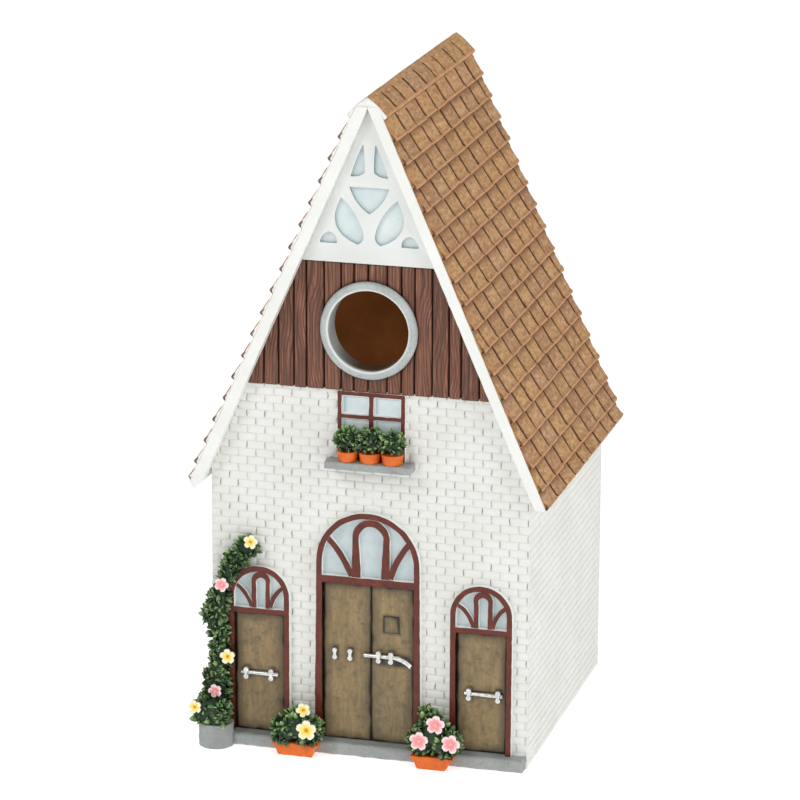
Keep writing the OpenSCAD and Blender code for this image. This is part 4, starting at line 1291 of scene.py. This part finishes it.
def flower_mesh(centre, radius, depth, spin, petals=5):
    """A five-petalled cast flower facing -Y: verts, faces and the share of the way out."""
    rings, around = 10, 75
    front, back, ray = [], [], []
    for k in range(rings):
        t = (k + 1) / rings
        for j in range(around):
            a = 2 * math.pi * j / around
            lobe = abs(math.cos(petals * a / 2))
            edge = 0.58 + 0.42 * lobe ** 0.55
            notch = 1 - 0.07 * max(0.0, 1 - abs(math.sin(petals * a / 2)) * 4)
            r = radius * t * edge * notch
            crease = (1 - lobe) ** 2 * 0.5 * t
            cup = 0.30 + 0.62 * math.sin(min(t * 1.25, 1) * math.pi / 2) * (1 - 0.35 * t) + 0.10 * lobe
            y = -depth * (cup - crease * 0.7)
            x, z = r * math.cos(a + spin), r * math.sin(a + spin)
            front.append((centre[0] + x, centre[1] + y, centre[2] + z))
            behind = max(y + 0.55 * MM, -0.1 * MM)
            back.append((centre[0] + x * 0.97, centre[1] + behind, centre[2] + z * 0.97))
            ray.append(t)
    verts = front + back
    total = rings * around
    hub = [(centre[0], centre[1] - depth * 0.55, centre[2]), (centre[0], centre[1], centre[2])]
    verts += hub
    faces = grid_faces(rings, around, wrap=True, flip=True)
    faces += grid_faces(rings, around, first=total, wrap=True)
    last = (rings - 1) * around
    for j in range(around):
        d = (j + 1) % around
        faces.append((j, d, 2 * total))
        faces.append((total + d, total + j, 2 * total + 1))
        faces.append((last + d, last + j, total + last + j, total + last + d))
    return verts, faces, ray + ray + [0.0, 0.0]


def build_flowers(node, colours, seed):
    """A five-petalled flower with a domed eye for each disc of a CAD node."""
    rng = np.random.default_rng(seed)
    for i, (lo, hi) in enumerate(islands(node)):
        radius = (hi[0] - lo[0]) / 2
        centre = ((lo[0] + hi[0]) / 2, hi[1], (lo[2] + hi[2]) / 2)
        spin = rng.uniform(0, 2 * math.pi)
        depth = hi[1] - lo[1]
        verts, faces, ray = flower_mesh(centre, radius, depth, spin)
        colour = colours[i % len(colours)]
        tidy(piece(f"{node}_{i + 1}", verts, faces, PETALS[colour], (node,), {"ray": ray}))
        dome = [(radius * 0.16 * math.sin(t), -depth * 0.62 - radius * 0.06 * math.cos(t))
                for t in np.linspace(math.pi / 2, 0, 6)]
        lathe(f"{node}_eye_{i + 1}", [(0, 0.1 * MM)] + dome, centre, EYES[colour], (node,), 24)


# ---------------------------------------------------------------- materials used

WHITE_BRICK = white_brick_paint()
WALL_WHITE = plain_wall_paint()
TRIM_WHITE = trim_paint("trim_white", ("#e6e7e3", "#eeefeb", "#d8d8d4"), "#eaebe7")
# The tracery's cut-out sides take a blue-grey painted shade.
TRACERY_WHITE = trim_paint("tracery_white", ("#dcdedb", "#e3e5e2", "#cfd1ce"), "#9fb0b3")
ROOF_TILE = tile_paint()
DECK_WHITE = deck_paint()
DARK_PLANK = plank_paint()
RING_STONE = stone_paint("ring_stone", ("#a3a9a7", "#b8bebb", "#7a807e", "#dde0de"), 0.42, True)
STEP_STONE = stone_paint("step_stone", ("#909492", "#a3a7a5", "#737775", "#c0c3c1"), 0.6)
POT_STONE = stone_paint("pot_stone", ("#8d9191", "#a0a4a3", "#6f7373", "#b8bbba"), 0.65)
RED_FRAME = frame_paint()
OLIVE_DOOR = door_paint()
PALE_PANE = pane_paint("pale_pane", ("#b2c0c3", "#c3ced0", "#d0d8d7"))
WINDOW_PANE = window_paint()
GABLE_PANE = pane_paint("gable_pane", ("#cbd8da", "#d7e1e1", "#e0e8e7"))
SILVER = silver_paint()
ORANGE = orange_paint()
LEAF_GREEN = leaf_paint()
PETALS = {
    "yellow": petal_paint("yellow_petal", "#f3d64a", "#f6e88a", "#fbf6df", "#d98a1e"),
    "pink": petal_paint("pink_petal", "#f2909b", "#f3a3ac", "#fbe6e4", "#f6d9c8")}
EYES = {
    "yellow": petal_paint("yellow_eye", "#e9a92c", "#ecb63a", "#f0cd5a", "#dd8f20"),
    "pink": petal_paint("pink_eye", "#f6d3bd", "#f8ddcb", "#fae8dc", "#f0c08e")}
ZINC = zinc_paint()
NYLON = nylon_paint()


# ---------------------------------------------------------------- assembly


def dress(node, material):
    """A CAD node that stays as it is gets its own finish."""
    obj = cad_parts[node]
    obj.data.materials.clear()
    obj.data.materials.append(material)
    for polygon in obj.data.polygons:
        polygon.use_smooth = False


for wall in ("front_wall", "back_wall", "left_wall", "right_wall", "floor_panel"):
    dress(wall, WALL_WHITE)
for deck in ("left_roof_deck", "right_roof_deck"):
    dress(deck, DECK_WHITE)
build_brickwork()
build_slope(1, 11)
build_slope(-1, 12)
build_ridge(13)
for board in ("left_bargeboard", "right_bargeboard"):
    softened(board, TRIM_WHITE, 0.5, wobble_mm=0.15, detail_mm=4)

build_planks(21)
build_ring()
softened("gable_tracery", TRACERY_WHITE, 0.35)
dress("gable_glass", GABLE_PANE)
build_window_panes("window_glass", 91)
softened("window_frame", RED_FRAME, 0.4, wobble_mm=0.18, detail_mm=1.5,
         pale=lambda co: True)
softened("window_sill", STEP_STONE, 0.6, wobble_mm=0.3, detail_mm=1.5)

for door, leaves in (("centre", ("centre_door_left_leaf", "centre_door_right_leaf")),
                     ("left", ("left_door_leaf",)), ("right", ("right_door_leaf",))):
    dress(door + "_fanlight_glass", PALE_PANE)
    spread = [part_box(leaf) for leaf in leaves]
    low, high = min(b[0].x for b in spread), max(b[1].x for b in spread)
    top = spread[0][1].z

    def beyond_leaf(co, low=low, high=high, top=top):
        """Whether a place lies outside the door leaves."""
        return co.x < low - 0.6 * MM or co.x > high + 0.6 * MM or co.z > top + 0.6 * MM

    softened(door + "_door_frame", RED_FRAME, 0.5, wobble_mm=0.2, detail_mm=1.8,
             pale=beyond_leaf)
    softened(door + "_bolt", SILVER, 0.3)
    softened(door + "_bolt_guides", SILVER, 0.4)
softened("centre_bolt_keepers", SILVER, 0.5)
build_leaf("centre_door_left_leaf", 31, ("centre_bolt_keepers", "centre_bolt"))
build_leaf("centre_door_right_leaf", 41, ("centre_bolt_guides", "centre_bolt", "centre_door_hatch"))
build_leaf("left_door_leaf", 51, ("left_bolt_guides", "left_bolt"))
build_leaf("right_door_leaf", 61, ("right_bolt_guides", "right_bolt"))
build_leaf("centre_door_hatch", 77)

softened("front_step", STEP_STONE, 0.5, wobble_mm=0.4, detail_mm=2.5)
softened("round_pot", POT_STONE, 0.9, wobble_mm=0.3, detail_mm=1.5)
for trough in ("left_trough", "right_trough"):
    softened(trough, ORANGE, 0.5, wobble_mm=0.25, detail_mm=1.5)
for place in ("left", "middle", "right"):
    softened("sill_pot_" + place, ORANGE, 0.5, wobble_mm=0.1, detail_mm=1.2)
for seed, place in enumerate(("left", "middle", "right")):
    build_foliage("sill_plant_" + place, 150, 2.5, 51 + seed)
build_foliage("climbing_vine", 1300, 2.9, 61, "vine_flowers", droop=0.1)
build_foliage("left_trough_foliage", 360, 2.8, 62, "left_trough_flowers")
build_foliage("right_trough_foliage", 440, 2.8, 63, "right_trough_flowers")
build_flowers("left_trough_flowers", ["yellow"], 71)
build_flowers("right_trough_flowers", ["pink"], 72)
build_flowers("vine_flowers", ["yellow", "pink"], 73)

softened("clean_out_cover", ZINC, 0.2, body=COVER)
softened("pivot_washer", NYLON, 0.1)
for screw in ("cover_pivot_screw", "cover_keeper_screw", "hanger_screws"):
    softened(screw, ZINC, 0.35)
softened("hanger_plate", ZINC, 0.2)


# ---------------------------------------------------------------- camera, light and floor

VIEW_TARGET = Vector((12.7, -66.5, 155.2)) * MM
VIEW_AZIMUTH = math.radians(15.2)
VIEW_ELEVATION = math.radians(16.05)
VIEW_ROLL = math.radians(0.27)
VIEW_DISTANCE = 1.668
LENS = 183.6
LIGHT_TARGET = Vector((0, 0, 0.14))
FLOOR_HALF = 8
FLOOR_THICK = 0.02


def look_at(target, azimuth, elevation, distance, roll):
    """A camera matrix. Azimuth 0 looks along +Y, and a positive one stands the camera at +X."""
    level = math.cos(elevation)
    away = Vector((math.sin(azimuth) * level, -math.cos(azimuth) * level, math.sin(elevation)))
    turn = away.to_track_quat("Z", "Y").to_matrix().to_4x4()
    return Matrix.Translation(target + away * distance) @ turn @ Matrix.Rotation(roll, 4, "Z")


def add_camera():
    """The camera at the photograph's viewing angle."""
    data = bpy.data.cameras.new("camera")
    data.lens = LENS
    data.sensor_width = 36.0
    data.clip_start = 0.05
    data.clip_end = 30.0
    camera = bpy.data.objects.new("camera", data)
    bpy.context.scene.collection.objects.link(camera)
    camera.matrix_world = look_at(VIEW_TARGET, VIEW_AZIMUTH, VIEW_ELEVATION, VIEW_DISTANCE, VIEW_ROLL)
    bpy.context.scene.camera = camera


def add_area_light(name, position, size, power):
    """A round soft light that points at the middle of the house."""
    data = bpy.data.lights.new(name, "AREA")
    data.shape = "DISK"
    data.size = size
    data.energy = power
    light = bpy.data.objects.new(name, data)
    bpy.context.scene.collection.objects.link(light)
    turn = (LIGHT_TARGET - Vector(position)).to_track_quat("-Z", "Y").to_matrix().to_4x4()
    light.matrix_world = Matrix.Translation(position) @ turn


def add_studio():
    """White surroundings, two soft lights and a plain pale floor."""
    world = bpy.data.worlds.new("studio")
    bpy.context.scene.world = world
    world.use_nodes = True
    background = world.node_tree.nodes["Background"].inputs
    background["Color"].default_value = (1, 1, 1, 1)
    background["Strength"].default_value = 0.46
    add_area_light("key", (-1.0, -1.5, 1.7), 0.9, 15)
    add_area_light("fill", (1.7, -0.9, 1.0), 1.2, 13)
    corners = [(-FLOOR_HALF, -FLOOR_HALF), (FLOOR_HALF, -FLOOR_HALF), (FLOOR_HALF, FLOOR_HALF),
               (-FLOOR_HALF, FLOOR_HALF)]
    verts = [(x, y, z) for z in (0, -FLOOR_THICK) for x, y in corners]
    faces = [(0, 1, 2, 3), (7, 6, 5, 4), (0, 4, 5, 1), (1, 5, 6, 2), (2, 6, 7, 3), (3, 7, 4, 0)]
    mesh = bpy.data.meshes.new("floor")
    mesh.from_pydata(verts, [], faces)
    floor = bpy.data.objects.new("floor", mesh)
    bpy.context.scene.collection.objects.link(floor)
    paint = Paint("floor_white", Roughness=0.9)
    white = paint.ramp(paint.noise(0.002, 2), [(0.0, "#fbfbfb"), (1.0, "#fdfdfd")])
    paint.glow(white, paint.span(paint.noise(0.001, 1), 0.3, 0.7, 0.5, 0.52))
    floor.data.materials.append(paint.done(white))


add_camera()
add_studio()
bpy.context.scene.view_settings.view_transform = "Standard"
